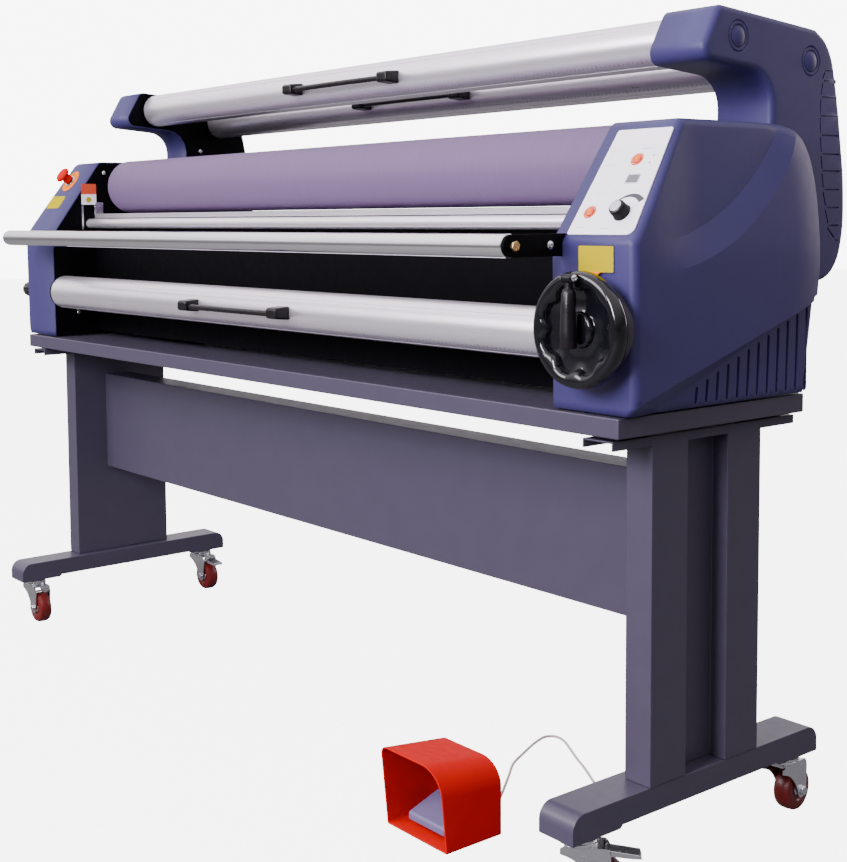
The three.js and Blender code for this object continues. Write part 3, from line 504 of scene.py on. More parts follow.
def circle(centre, radius, count, first=0.0):
    turns = [math.radians(first) + 2 * math.pi * k / count for k in range(count)]
    return [Vector((centre[0] + radius * math.cos(t), centre[1] + radius * math.sin(t))) for t in turns]


def capsule(a, b, half):
    along = (b - a).normalized()
    side = Vector((-along.y, along.x))
    loop = []
    for end, first in ((b, -90), (a, 90)):
        for k in range(5):
            t = math.radians(first + 45 * k)
            loop.append(end + along * (half * math.cos(t)) + side * (half * math.sin(t)))
    return loop


def moulding(outline, inner_x, side_x, edge, slots=(), loops=(), foot=(), grid=13.0):
    """A moulded shell that opens towards inner_x: a wall round an outline, a rounded edge and a side face.

    side_x(y, z) is the height of the side face. slots are (a, b, half width, depth) recesses in it and loops
    are outlines that its mesh follows. foot, where the outline is open, lists the points on the floor line
    between its end and its start, which has no wall.
    """
    n = len(outline)
    closed = not foot
    count = n if closed else n - 1
    ends = () if closed else (0, n - 1)
    area = sum(a.x * b.y - b.x * a.y for a, b in zip(outline, outline[1:] + outline[:1]))
    turn = 1 if area > 0 else -1
    normals = []
    for i, p in enumerate(outline):
        before = p if i in ends[:1] else outline[i - 1]
        after = p if i in ends[1:] else outline[(i + 1) % n]
        along = (after - before).normalized()
        normals.append(Vector((-along.y, along.x)) * turn)

    def ring(inset, drop):
        made = []
        for i, p in enumerate(outline):
            q = p + normals[i] * inset
            if i in ends:
                q.y = p.y
            made.append((inner_x if drop is None else side_x(q.x, q.y) - drop, q.x, q.y))
        return made

    steps = 14
    rings = [ring(0, None), ring(0, edge)]
    for k in range(1, steps + 1):
        angle = math.pi / 2 * k / steps
        rings.append(ring(edge * (1 - math.cos(angle)), edge * (1 - math.sin(angle))))
    vertices = [p for r in rings for p in r]
    faces = []
    for r in range(len(rings) - 1):
        for i in range(count):
            a, b = r * n + i, r * n + (i + 1) % n
            faces.append((a, b, b + n, a + n))

    rim = [Vector(p[1:]) for p in rings[-1]] + [Vector(p) for p in foot]
    flat, drops, edges = list(rim), [0.0] * len(rim), []

    def follow(loop, drop):
        start = len(flat)
        flat.extend(loop)
        drops.extend([drop] * len(loop))
        edges.extend((start + k, start + (k + 1) % len(loop)) for k in range(len(loop)))

    for a, b, half, depth in slots:
        follow(capsule(a, b, half), 0.0)
        follow(capsule(a, b, half - 0.7), depth)
    for loop in loops:
        follow(loop, 0.0)

    def blocked(p):
        for a, b, half, _ in slots:
            share = min(max((p - a).dot(b - a) / (b - a).length_squared, 0), 1)
            if (p - a.lerp(b, share)).length < half + 3:
                return True
        return min((p - q).length for q in flat) < grid / 3

    low = Vector((min(p.x for p in rim), min(p.y for p in rim)))
    high = Vector((max(p.x for p in rim), max(p.y for p in rim)))
    field = []
    for i in range(int((high.x - low.x) / grid) + 1):
        for j in range(int((high.y - low.y) / grid) + 1):
            p = low + Vector((i + 0.5 * (j % 2), j)) * grid
            if inside(p, rim) and not blocked(p):
                field.append(p)
    flat += field
    drops += [0.0] * len(field)
    points, _, triangles, origins, _, _ = delaunay_2d_cdt(flat, edges, [list(range(len(rim)))], 1, 1e-4)
    start = len(vertices)
    for p, origin in zip(points, origins):
        drop = drops[origin[0]] if origin else 0.0
        vertices.append((side_x(p.x, p.y) - drop, p.x, p.y))
    faces += [tuple(start + i for i in t) for t in triangles]
    return vertices, faces


def thicken(piece, thickness, side):
    """Gives a shell its wall, inwards; side is 1 for a shell whose outer face looks along +X, -1 for -X."""
    outermost = max(piece.data.polygons, key=lambda face: side * face.center.x)
    if side * outermost.normal.x < 0:
        piece.data.flip_normals()
    wall = piece.modifiers.new("wall", "SOLIDIFY")
    wall.thickness = thickness * MM
    wall.offset = -1
    return piece


# ---- end covers

HEAD_FLOOR = 733.0  # the mouldings stop a little above the tray
LAP_EDGE = 862.4  # the mouldings lap over the edges of the side plates
WALL = 2.4
SLOPE_FOOT = (0, -217, 985)
SLOPE_RISE = 178
SLOPE_RUN = 129
SLOPE = Matrix.Translation(SLOPE_FOOT) @ Matrix.Rotation(math.atan2(SLOPE_RISE, SLOPE_RUN), 4, "X")

CABINET_BACK = [
    (150, 1167), (178, 1165), (204, 1155), (222, 1140), (238, 1108), (247, 1064), (250.5, 1010), (251.5, 934),
    (244, 872), (233, 801), (222, HEAD_FLOOR),
]
cabinet = rounded(
    [(-215, HEAD_FLOOR, 0), (-217.3, 984.6, 16), (-85.1, 1167, 20), (150, 1167, 0)], closed=False, turn=6
) + spline(CABINET_BACK)
cabinet_foot = [(y, HEAD_FLOOR) for y in (200, 150, 100, 50, 0, -50, -100, -130, -150, -160, -172, -185)]

OUTER_ARC = (Vector((-180.3, 1364.7)), 426.8)
INNER_ARC = (Vector((-205.2, 1418.9)), 440.5)
CRESCENT_STEP = 12
COVER_SIDE = 1024
TOP_LEAN = 17
BACK_ROUNDING = 13
LOUVRE_RECESS = 20


def cabinet_back_at(z):
    """Where the end cover's back is at height z."""
    for (y0, z0), (y1, z1) in zip(CABINET_BACK, CABINET_BACK[1:]):
        if z1 <= z <= z0:
            return y0 + (y1 - y0) * (z0 - z) / (z0 - z1)
    return 150.0


def ledge_top(y):
    """The height where the side face starts to step in above the slots."""
    return 813 + 0.307 * y


def ledge_foot(y):
    """The height where that step ends."""
    return 793 + 0.39 * y


def cabinet_side(y, z):
    """The end cover's side face: it leans in at the top, and steps at the crescent and above the slots."""
    x = COVER_SIDE - TOP_LEAN * max(0.0, (z - 960) / 207) ** 1.35
    p = Vector((y, z))
    above = (p - INNER_ARC[0]).length - INNER_ARC[1]
    below = OUTER_ARC[1] - (p - OUTER_ARC[0]).length
    if above <= 0:
        step = 0.0
    elif below <= 0:
        step = 1.0
    else:
        step = above / (above + below)
    x -= CRESCENT_STEP * (1 - step) * smoothstep((y + 200) / 150)
    upper = ledge_top(y)
    down = min(max((upper - z) / max(upper - ledge_foot(y), 1.0), 0), 1)
    turned_in = (1 - min(max((cabinet_back_at(z) - y) / 85, 0), 1)) ** 2
    return x - BACK_ROUNDING * turned_in * (1 - down) - LOUVRE_RECESS * down


def arc_points(arc, first, last, count):
    turns = [math.radians(first + (last - first) * k / count) for k in range(count + 1)]
    return [arc[0] + Vector((math.cos(t), math.sin(t))) * arc[1] for t in turns]


def inside_cabinet(points, margin=16):
    kept = []
    for p in points:
        near = min((p - q).length for q in cabinet)
        if inside(p, cabinet) and near > margin and p.y > HEAD_FLOOR + 6:
            kept.append(p)
    return kept


crescent = inside_cabinet(arc_points(OUTER_ARC, -95, -20, 60)) + inside_cabinet(
    arc_points(INNER_ARC, -95, -20, 60)
)[::-1]
bevel_line = [Vector((y, ledge_top(y))) for y in range(-196, 226, 14)]
bevel_line += [Vector((y, ledge_foot(y) - 0.5)) for y in range(214, -140, -14)]
louvres = []
for k in range(12):
    y = -56 + 25 * k
    louvres.append((Vector((y + 3.0, ledge_foot(y) - 10)), Vector((y, 740.5)), 3.0, 5.0))
cover_shell = moulding(
    cabinet, LAP_EDGE, cabinet_side, 13, slots=louvres, loops=[crescent, bevel_line], foot=cabinet_foot
)
for hand, flip in (("left", True), ("right", False)):
    thicken(
        build(
            f"{hand}_end_moulding", [cover_shell], "frame", "cover_plastic", [f"{hand}_end_cover"],
            mirror=flip, sharp=9,
        ),
        WALL, -1 if flip else 1,
    )

# ---- arms

RIB_LINES = [  # height, and where the line starts and ends
    (1259, 311, 354), (1242, 307, 362), (1215, 302, 365), (1184, 301, 370), (1152, 302, 374),
    (1121, 305, 377), (1093, 308, 381), (1062, 312, 384), (1032, 319, 386), (1002, 327, 385), (977, 345, 376),
]
ARM_CAPS = ((83, 1300), (273, 1272))
ARM_SIDE = 970
CAP_GROOVES = (17.4, 24)
CAP_GROOVE_HALF = 1.9


def arm_outline():
    back = spline([
        (250, 915), (307, 909), (338, 918), (360, 941), (372, 972), (378, 1015), (376, 1080), (367, 1142),
        (357, 1200), (346, 1250), (336, 1282), (318, 1308), (291, 1325),
    ], step=5)
    front = rounded(
        [(291, 1325.5, 0), (36.6, 1347.4, 20), (-12.7, 1261.4, 20), (170, 1246.4, 55), (170, 1100, 0)],
        closed=False,
    )
    closing = [Vector((170, 1100)).lerp(Vector((250, 915)), k / 15) for k in range(1, 16)]
    return back + front[1:] + closing


def arm_side(y, z):
    """The arm's side face: flat, with a ringed cap at each shaft."""
    for centre in ARM_CAPS:
        r = math.hypot(y - centre[0], z - centre[1])
        if r < 15:
            return ARM_SIDE + 3.2 * math.cos(r / 15 * math.pi / 2) ** 0.7
        for groove in CAP_GROOVES:
            off = abs(r - groove) / CAP_GROOVE_HALF
            if off < 1:
                return ARM_SIDE - 1.8 * math.cos(off * math.pi / 2)
    return ARM_SIDE


rib_slots = []
for (z, start, end), (below, below_start, _) in zip(RIB_LINES, RIB_LINES[1:]):
    top, bottom = Vector((start, z - 4.5)), Vector((below_start, below + 4.5))
    rib_slots.append((top, bottom, 1.5, 4.5))
for z, start, end in RIB_LINES:
    rim_end = min(end, 377) - 20
    if rim_end > start + 8:
        rib_slots.append((Vector((start + 4, z)), Vector((rim_end, z)), 1.3, 1.8))
cap_radii = [4, 8, 12, 15]
for groove in CAP_GROOVES:
    cap_radii += [groove + share * CAP_GROOVE_HALF for share in (-1, -0.6, 0, 0.6, 1)]
cap_loops = [circle(c, r, 48) for c in ARM_CAPS for r in cap_radii]
arm_shell = moulding(arm_outline(), LAP_EDGE, arm_side, 11, slots=rib_slots, loops=cap_loops)
for hand, flip in (("left", True), ("right", False)):
    thicken(
        build(
            f"{hand}_arm_moulding", [arm_shell], "frame", "cover_plastic", [f"{hand}_arm_cover"],
            mirror=flip, sharp=30,
        ),
        WALL, -1 if flip else 1,
    )

# ---- stand and plates

for node, bevel in (
    ("base_tray", 2.0), ("cross_panel", 1.5), ("left_leg", 1.6), ("right_leg", 1.6), ("left_foot", 4.0),
    ("right_foot", 4.0), ("left_side_plate", 0.8), ("right_side_plate", 0.8), ("left_guide_bracket", 0.8),
    ("right_guide_bracket", 0.8), ("infeed_table", 0.5), ("rear_cover", 0.6), ("front_cover", 0.4),
    ("power_inlet", 0.6), ("gearmotor", 2.0), ("control_box", 2.5), ("cable_gland", 0.6),
):
    softened(node, bevel, segments=3 if bevel >= 2 else 2)


def screw_head(axis, centre, radius, height, sign=1):
    """A button-head screw that stands out along an axis, with a round socket."""
    h = height * sign
    profile = [(0, 0), (0, radius), (h * 0.35, radius), (h * 0.8, radius * 0.72), (h, radius * 0.45)]
    profile += [(h, radius * 0.42), (h * 0.4, radius * 0.4), (h * 0.4, 0)]
    return lathe(axis, profile, centre, 24)


# Screws in the inner faces of the side plates, and the guide brackets' bolts.
PLATE_SCREWS = (
    (-72, 1140), (60, 1146), (205, 1090), (-150, 790), (180, 790), (300, 1080), (330, 940), (215, 1200),
)
plate_screws = [screw_head("x", (862, y, z), 5, 3, sign=-1) for y, z in PLATE_SCREWS]
guide_bolt = prism("x", circle((-320, 980), 8, 6, 15), 885.6, 891)
bracket_screw = screw_head("x", (883.2, -244, 980), 6.5, 4.5)
for hand, flip in (("left", True), ("right", False)):
    build(f"{hand}_plate_screws", plate_screws, "frame", "zinc", mirror=flip)
    build(f"{hand}_guide_bolt", [guide_bolt], "frame", "zinc", material=BRASS, bevel=0.8, mirror=flip)
    build(f"{hand}_bracket_screw", [bracket_screw], "frame", "zinc", mirror=flip)

# ---- rollers and tubes


def turned_piece(name, axis, profile, centre, body, slot, stands_for=(), segments=96, **options):
    shape = lathe(axis, profile, centre, segments, closed=True)
    return build(name, [shape], body, slot, stands_for, **options)


for level, body in (("upper", "upper_roller"), ("lower", "lower_roller")):
    at = middle(f"{level}_roller_sleeve")
    centre = (0, at.y, at.z)
    turned_piece(
        f"{level}_roller_rubber", "x",
        [(-838, 58.4), (-838, 62.5), (-836.5, 64.4), (-834, 65),
         (834, 65), (836.5, 64.4), (838, 62.5), (838, 58.4)],
        centre, body, "roller_rubber", [f"{level}_roller_sleeve"],
    )

idler = middle("idler_tube")
turned_piece(
    "infeed_bar", "x",
    [(-874, 0), (-874, 6), (-858, 6), (-858, 10.5), (-856.5, 12),
     (856.5, 12), (858, 10.5), (858, 6), (874, 6), (874, 0)],
    (0, idler.y, idler.z), "idler", "aluminium", ["idler_tube"], segments=64,
)
guide = middle("front_guide_tube")
turned_piece(
    "chromed_guide", "x",
    [(-877.7, 15.6), (-877.7, 17), (-876.7, 18), (876.7, 18), (877.7, 17), (877.7, 15.6)],
    (0, guide.y, guide.z), "guide_tube", "chrome", ["front_guide_tube"],
)
for sign in (-1, 1):
    turned_piece(
        f"guide_bushing_{'left' if sign < 0 else 'right'}", "x",
        [(877.9 * sign, 8.4), (877.9 * sign, 15.4), (868 * sign, 15.4), (868 * sign, 8.4)],
        (0, guide.y, guide.z), "guide_tube", "black_steel", segments=48,
    )

# ---- media shafts

GROOVES = (41, -62, 139, -158)  # degrees above the operator's side, seen from the right


def around(radius, degrees):
    """A point on a shaft, measured up from its operator's side."""
    t = math.radians(180 - degrees)
    return radius * math.cos(t), radius * math.sin(t)


def shaft_section(radius):
    turns = [(d, radius) for d in range(-180, 180, 5) if min(abs(d - g) for g in GROOVES) > 4]
    for g in GROOVES:
        turns += [(g - 2.2, radius), (g - 1.6, radius - 1.5), (g + 1.6, radius - 1.5), (g + 2.2, radius)]
    return [around(r, d) for d, r in sorted(turns)]


def tick_marks(radius):
    """Ruled lines each centimetre, on the operator's side of a shaft."""
    shapes = []
    for k in range(-84, 85):
        half = 0.35
        span = 5.5 if k % 10 == 0 else 4 if k % 5 == 0 else 2.6
        rows = [around(radius + 0.08, -44 + d) for d in (-span, -span / 3, span / 3, span)]
        vertices = [(10 * k + s, y, z) for y, z in rows for s in (-half, half)]
        shapes.append((vertices, [(2 * i, 2 * i + 1, 2 * i + 3, 2 * i + 2) for i in range(3)]))
    return shapes


SHAFTS = {
    "upper_front_shaft": "film_shaft", "upper_rear_shaft": "liner_shaft", "lower_front_shaft": "media_shaft",
}
for node, body in SHAFTS.items():
    low, high = extent(node)
    axis = (low + high) / 2
    to_axis = Matrix.Translation((0, axis.y, axis.z))
    build(
        f"{node}_extrusion", [prism("x", shaft_section(40), -853, 853)], body, "aluminium", [node],
        matrix=to_axis, sharp=20,
    )
    build(f"{node}_scale", tick_marks(40), body, "aluminium", material=DARK_PRINT, matrix=to_axis)
    for sign in (-1, 1):
        end = "left" if sign < 0 else "right"
        turned_piece(
            f"{node}_{end}_cap", "x",
            [(852.6 * sign, 0), (852.6 * sign, 41), (856 * sign, 41), (857.5 * sign, 39.5),
             (857.5 * sign, 12), (890 * sign, 12), (890 * sign, 0)],
            (0, axis.y, axis.z), body, "black_steel", segments=64,
        )
    strap = [(-166 + 332 * k / 16, -62 - 4 * math.sin(math.pi * k / 16), -1.5) for k in range(17)]
    build(
        f"{node}_strap", [sweep(strap, 9, 11)], body, "black_gloss", [f"{node}_handle"],
        material=BLACK_SATIN, matrix=to_axis,
    )
    foot = rounded([(-72, -10, 6), (-36, -13, 4), (-36, 13, 4), (-72, 10, 6)], step=400)
    feet = [prism("x", foot, x, x + 34) for x in (-182, 148)]
    build(
        f"{node}_strap_ends", feet, body, "black_gloss", material=BLACK_SATIN, bevel=4, segments=3,
        matrix=to_axis,
    )

# ---- handwheel

wheel_axis = middle("handwheel_boss")
WHEEL = (wheel_axis.x, 0, wheel_axis.z)
LOBED = {6: 1.0, 7: 1.0, 8: 0.85, 9: 0.4}


def lobes(i, radius, angle):
    wave = math.cos(8 * angle)
    return radius - LOBED.get(i, 0) * 6 * (wave ** 0.7 if wave > 0 else wave * 0.35)


wheel_profile = [
    (-259, 0), (-259, 23.5), (-257, 26), (-250, 27), (-248.5, 30), (-250, 50), (-252, 62), (-258, 64),
    (-263, 66), (-266, 70), (-267, 76), (-266, 81), (-263, 84.6), (-257, 86), (-249, 86), (-243, 83.5),
    (-241, 78), (-242, 70), (-244.5, 60), (-244.5, 28), (-238, 22), (-238, 8), (30.4, 8), (30.4, 22),
    (35.4, 22), (43.4, 14), (43.4, 0),
]
build(
    "handwheel_rim", [lathe("y", wheel_profile, WHEEL, 160, radius_at=lobes)], "handwheel",
    "black_gloss", ["handwheel"], sharp=50,
)
hinge = WHEEL[2] + 76
ear = rounded([
    (-282, hinge - 6, 3), (-282, hinge + 6, 5), (-270, hinge + 6, 3), (-257, hinge - 1, 1),
    (-257, hinge - 9, 1),
], step=400, turn=20)
ears = [prism("x", ear, WHEEL[0] + x, WHEEL[0] + x + 3) for x in (-11, 8)]
build("crank_ears", ears, "handwheel", "black_gloss", bevel=0.6)
pin = lathe("x", [(-12, 0), (-12, 3), (12, 3), (12, 0)], (WHEEL[0], -276, hinge), 24)
heads = [screw_head("x", (WHEEL[0] + s * 11, -276, hinge), 5.5, 3, sign=s) for s in (-1, 1)]
build("crank_pin", [pin] + heads, "handwheel", "chrome")
grip = lathe("z", [
    (-26, 0), (-26, 8), (-25, 11), (-22, 12.4), (-5, 12.6), (30, 11.6), (54, 10.4), (59, 8.5), (61, 6),
    (66, 5.6), (70, 5.6), (70, 0),
], (WHEEL[0], -276, WHEEL[2]), 48)
eye = lathe("x", [(-7.5, 3.3), (-7.5, 6.5), (7.5, 6.5), (7.5, 3.3)], (WHEEL[0], -276, hinge), 32, closed=True)
build("crank_grip", [grip, eye], "crank", "black_gloss", ["crank_handle"], material=BLACK_SATIN, sharp=45)
turned_piece(
    "boss_housing", "y",
    [(-214, 9), (-214, 69), (-224, 69), (-228, 67.5), (-233, 60), (-235, 55), (-235, 9)],
    WHEEL, "frame", "black_steel", ["handwheel_boss"], segments=80, material=BOSS_FINISH,
)

# ---- controls on the right slope


def on_slope(name, shapes, material=None, body="frame", slot="keypad", stands_for=(), **options):
    return build(name, shapes, body, slot, stands_for, material, matrix=SLOPE, **options)


PANEL_TOP = 1.8
overlay = rounded([(886, 12, 4), (1014, 12, 12), (993, 206, 5), (886, 206, 4)], step=400, turn=12)
on_slope("control_overlay", [prism("z", overlay, 0.05, PANEL_TOP)], stands_for=["control_panel"])


def printed(name, outlines, material, level=0.12):
    on_slope(name, [prism("z", o, PANEL_TOP - 0.4, PANEL_TOP + level) for o in outlines], material)


def field(corners):
    return rounded([(x, up, 2.5) for x, up in corners], step=400, turn=20)


FIELDS = (
    ((888, 129), (931, 129), (936, 176), (888, 176)), ((888, 77), (926, 77), (931, 127), (888, 127)),
    ((888, 15), (920, 15), (926, 75), (888, 75)), ((932, 102), (1002, 102), (994.5, 176), (938, 176)),
    ((922, 15), (1010, 15), (1003, 100), (931, 100)),
)
printed("overlay_fields", [field(corners) for corners in FIELDS], WHITE)
printed("overlay_dots", [circle(c, 1.5, 12) for c in ((982, 154), (980, 141))], DARK_PRINT, 0.25)
LAMP_DOTS = ((979, 118), (977, 108), (899, 164), (906, 164), (898, 156), (896, 85), (911, 85))
CAPTION_BARS = ((952, 167, 24), (894, 138, 22), (896, 24, 20), (945, 22, 18))
printed("overlay_dots_pale", [circle(c, 1.0, 10) for c in LAMP_DOTS], PALE_LINE, 0.25)
bars = [rectangle((x, up), (x + width, up + 1.2), 0.3) for x, up, width in CAPTION_BARS]
printed("overlay_bars", bars, PALE_LINE, 0.25)
printed("display_frame", [rectangle((950, 103), (976, 121), 1.5)], PALE_LINE, 0.3)
printed("display_glass", [rectangle((952, 105), (974, 119), 0.8)], DISPLAY, 0.5)
scale_edges = [(28.5, k) for k in range(25)]
scale_edges += [(29 + 9 * (k / 24) ** 0.8, k) for k in range(24, -1, -1)]
speed_scale = []
for radius, k in scale_edges:
    t = math.radians(138 - 98 * k / 24)
    speed_scale.append(Vector((975 + radius * math.cos(t), 50 + radius * math.sin(t))))
printed("speed_scale", [speed_scale], DARK_PRINT, 0.25)


def knurled(i, radius, angle):
    return radius - (0.7 * (0.5 + 0.5 * math.cos(36 * angle)) if i in (4, 5, 6) else 0)


knob_at = (975, 50, 0)
knob = lathe("z", [
    (-12, 0), (-12, 3), (2.1, 3), (2.1, 14.5), (4, 14.5), (5, 13.5), (17, 12.9), (19, 11.6),
    (19.8, 10), (19.8, 0),
], knob_at, 180, radius_at=knurled)
on_slope("speed_dial", [knob], BLACK_SATIN, "speed_knob", "black_gloss", ["speed_knob"], sharp=40)
cap = lathe("z", [(19.9, 0), (19.9, 9.6), (20.5, 9.2), (20.7, 8), (20.7, 0)], knob_at, 40)
on_slope("speed_dial_cap", [cap], FINISHES["zinc"], "speed_knob", "black_gloss")
for node, x, up in (("start_button", 953, 148), ("stop_button", 911, 52)):
    head = lathe("z", [
        (-14, 0), (-14, 3), (-0.5, 3), (-0.5, 8), (3.6, 8), (4.6, 7), (4.9, 5.5), (4.2, 4.5), (4.2, 0),
    ], (x, up, 0), 48)
    on_slope(f"{node}_key", [head], None, node, "button_orange", [node], sharp=50)
    ring = lathe("z", [(0, 8.6), (0, 11.4), (0.8, 10.8), (0.8, 8.6)], (x, up, PANEL_TOP), 48, closed=True)
    on_slope(f"{node}_bezel", [ring], slot="button_orange")
    # A paler amber disc on each key's top is a painted highlight, where the key's dome catches the light.
    face = lathe("z", [(4.25, 0), (4.25, 3.6), (4.5, 3.2), (4.5, 0)], (x, up, 0), 32)
    on_slope(f"{node}_painted_highlight", [face], ORANGE, node, "button_orange")


def front(z):
    """Where the end cover's front face is at height z."""
    return -215 - 2.3 * (z - HEAD_FLOOR) / 254


# A plain yellow plate and an amber pointer on the right cover's front.
face_y = front(960)
border = rectangle((915, 939.5), (986, 980.5), 3)
edging = prism("y", border, face_y - 0.7, face_y + 0.5)
build("front_plate_border", [edging], "frame", "keypad", material=DARK_PRINT)
label = rectangle((916.5, 941), (984.5, 979), 2)
build("front_plate", [prism("y", label, face_y - 1.0, face_y)], "frame", "keypad", material=YELLOW)
pointer = prism("y", [(934, 941), (949, 931), (963, 941)], front(936) - 5, front(936) + 0.5)
build("boss_pointer", [pointer], "frame", "keypad", material=ORANGE, bevel=1.0)

# ---- left end

STOP_AT = (953, 167, 0)
stop = lathe("z", [
    (-25, 0), (-25, 9), (6, 9), (6, 11.5), (19, 11.5), (22, 13.5), (24, 18.5), (26.5, 20), (30, 19.6),
    (33.5, 16.5), (35.4, 11), (36, 5), (36, 0),
], STOP_AT, 56)
on_slope(
    "stop_mushroom", [stop], None, "emergency_stop", "safety_red", ["emergency_stop"], mirror=True,
    sharp=50,
)
legend = lathe("z", [(0.05, 13), (0.05, 31), (1.0, 31), (1.4, 30), (1.4, 13)], STOP_AT, 64, closed=True)
on_slope("stop_legend", [legend], ORANGE, mirror=True)
collar = lathe("z", [(1.4, 12), (1.4, 16), (4.5, 15), (4.5, 12)], STOP_AT, 48, closed=True)
on_slope("stop_collar", [collar], slot="zinc", mirror=True)
on_slope("slope_plate", [prism("z", rectangle((925, 82), (1000, 120), 9), 0.05, 0.8)], YELLOW, mirror=True)


def on_plate(y0, z0, y1, z1, thick=0.6, radius=1.5):
    """A thin plate on the left side plate's inner face."""
    return prism("x", rectangle((y0, z0), (y1, z1), radius), -861.9, -861.9 + thick)


top_strip = on_plate(-136, 1086, -95, 1112)
build("plate_label_top", [top_strip], "frame", "keypad", material=FINISHES["button_orange"])
build("plate_label", [on_plate(-136, 1060, -95, 1087, 0.5)], "frame", "keypad", material=WHITE)
mark = prism("x", circle((-116, 1072), 7, 24), -861.4, -861.1)
build("plate_label_mark", [mark], "frame", "keypad", material=YELLOW)
build("edge_strip", [on_plate(-136, 998, -131, 1058, 1.0, 0.8)], "frame", "zinc")
sensor = on_plate(-101, 1028, -77, 1065, 3.0, 2)
build("sensor_bracket", [sensor], "frame", "zinc", bevel=0.8)
tension = middle("tension_knob")


def gripped(i, radius, angle):
    return radius - (1.3 * (0.5 + 0.5 * math.cos(12 * angle)) if 3 <= i <= 6 else 0)


tension_grip = lathe("x", [
    (-900, 0), (-900, 5), (-1024.6, 5), (-1024.6, 14), (-1032, 19), (-1050, 19), (-1066, 18.6), (-1071, 16),
    (-1072.6, 12), (-1072.6, 0),
], (0, tension.y, tension.z), 96, radius_at=gripped)
build(
    "tension_grip", [tension_grip], "tension_knob", "black_gloss", ["tension_knob"],
    material=BLACK_SATIN, sharp=45,
)

# ---- casters

CASTERS = (
    ("front_left", -951.5, -248, 0), ("rear_left", -951.5, 248, 0), ("front_right", 951.5, -248, 43),
    ("rear_right", 951.5, 248, 95),
)
AXLE = (30, 0, 37.5)
for name, x, y, heading in CASTERS:
    at = Matrix.Translation((x, y, 0)) @ Matrix.Rotation(math.radians(heading), 4, "Z")
    fork, wheel = f"{name}_caster", f"{name}_wheel"
    softened(f"{name}_caster_fork", 1.0)
    race = lathe("z", [
        (92, 10), (92, 25.6), (93.5, 27), (97, 27), (100, 24), (101.5, 20), (101.5, 10),
    ], segments=48, closed=True)
    nut = circle((AXLE[0], AXLE[2]), 8, 6, 15)
    nuts = [prism("y", nut, 20.6, 26), prism("y", nut, -26, -20.6)]
    build(f"{name}_caster_race", [race] + nuts, fork, "zinc", bevel=0.6, matrix=at)
    tread = lathe("y", [
        (-15, 20), (-15, 31), (-13.5, 34.5), (-9, 36.8), (0, 37.5), (9, 36.8), (13.5, 34.5), (15, 31),
        (15, 20), (12, 18), (12, 9), (-12, 9), (-12, 18),
    ], AXLE, 64, closed=True)
    build(f"{name}_tyre", [tread], wheel, "wheel_red", [f"{name}_caster_wheel"], matrix=at)
    hub = lathe("y", [
        (-15.5, 4.4), (-15.5, 8), (-12.5, 11), (12.5, 11), (15.5, 8), (15.5, 4.4),
    ], AXLE, 40, closed=True)
    build(f"{name}_hub", [hub], wheel, "zinc", matrix=at)
for node in ("rear_left_caster_brake", "front_right_caster_brake"):
    softened(node, 1.2)

# ---- foot switch

HOOD_HEIGHT = 140
HOOD_FALL = 0.11  # the share of its height that the hood loses towards its back


def hood_section(wall):
    left, right, top = 562 + wall, 715 - wall, HOOD_HEIGHT - wall
    corners = [(left, wall, 3), (right, wall, 3), (right, top, 46 - wall), (left, top, 15 - wall)]
    return rounded(corners, step=500, turn=7)


def lip(z):
    """Where the hood's raked front edge is at height z."""
    return -305 - 14 * z / HOOD_HEIGHT


def hood_shell():
    """Four rings: the outside from the back to the lip, then the inside from the lip to the back."""
    outer, inner = hood_section(0.1), hood_section(3)
    vertices = [(p.x, -185, p.y * (1 - HOOD_FALL)) for p in outer]
    vertices += [(p.x, lip(p.y), p.y) for p in outer + inner]
    vertices += [(p.x, -188, p.y * (1 - HOOD_FALL)) for p in inner]
    n = len(outer)
    faces = [tuple(range(n)), tuple(range(3 * n, 4 * n))]
    for ring in range(3):
        for i in range(n):
            a, b = ring * n + i, ring * n + (i + 1) % n
            faces.append((a, b, b + n, a + n))
    return vertices, faces


build(
    "footswitch_hood", [hood_shell()], "frame", "safety_red", ["footswitch_guard"], bevel=1.1,
    segments=3,
)
posts = [block((x, -214, 3), (x + 5, -202, 21)) for x in (585, 686)]
pivot = lathe("x", [(586, 0), (586, 2.5), (690, 2.5), (690, 0)], (0, -208, 14), 20)
build("pedal_ears", posts + [pivot], "frame", "safety_red")
pedal_side = rounded([
    (-284, 12.5, 3), (-221, 6, 3), (-203, 6, 4), (-203, 46, 4), (-219, 48, 8), (-284, 26, 7),
], step=20, turn=12)
build(
    "pedal_pad", [prism("x", pedal_side, 592, 684)], "pedal", "pedal_grey", ["footswitch_pedal"],
    bevel=5, segments=4,
)

# ---- cable, floor and light

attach(cable, "frame")
cable.data.materials.append(FINISHES["cable_grey"])
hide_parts("footswitch_cable")


def lamp(name, at, aim, size, power, colour):
    data = bpy.data.lights.new(name, "AREA")
    data.shape = "RECTANGLE"
    data.size, data.size_y = size
    data.energy = power
    data.color = colour
    turn = (Vector(aim) - Vector(at)).to_track_quat("-Z", "Y").to_matrix().to_4x4()
    light = bpy.data.objects.new(name, data)
    light.matrix_world = Matrix.Translation(at) @ turn
    bpy.context.scene.collection.objects.link(light)


lamp("key", (-1.2, -4.4, 3.4), (0.2, 0, 0.9), (3.2, 2.2), 310, (1.0, 0.96, 1.0))
lamp("front_strip", (1.5, -4.0, 2.3), (1.0, -0.1, 0.95), (0.8, 1.6), 260, (0.9, 0.86, 1.0))
lamp("rim", (1.6, 4.4, 2.0), (0.95, 0.2, 0.95), (1.2, 2.0), 45, (1.0, 0.84, 0.95))

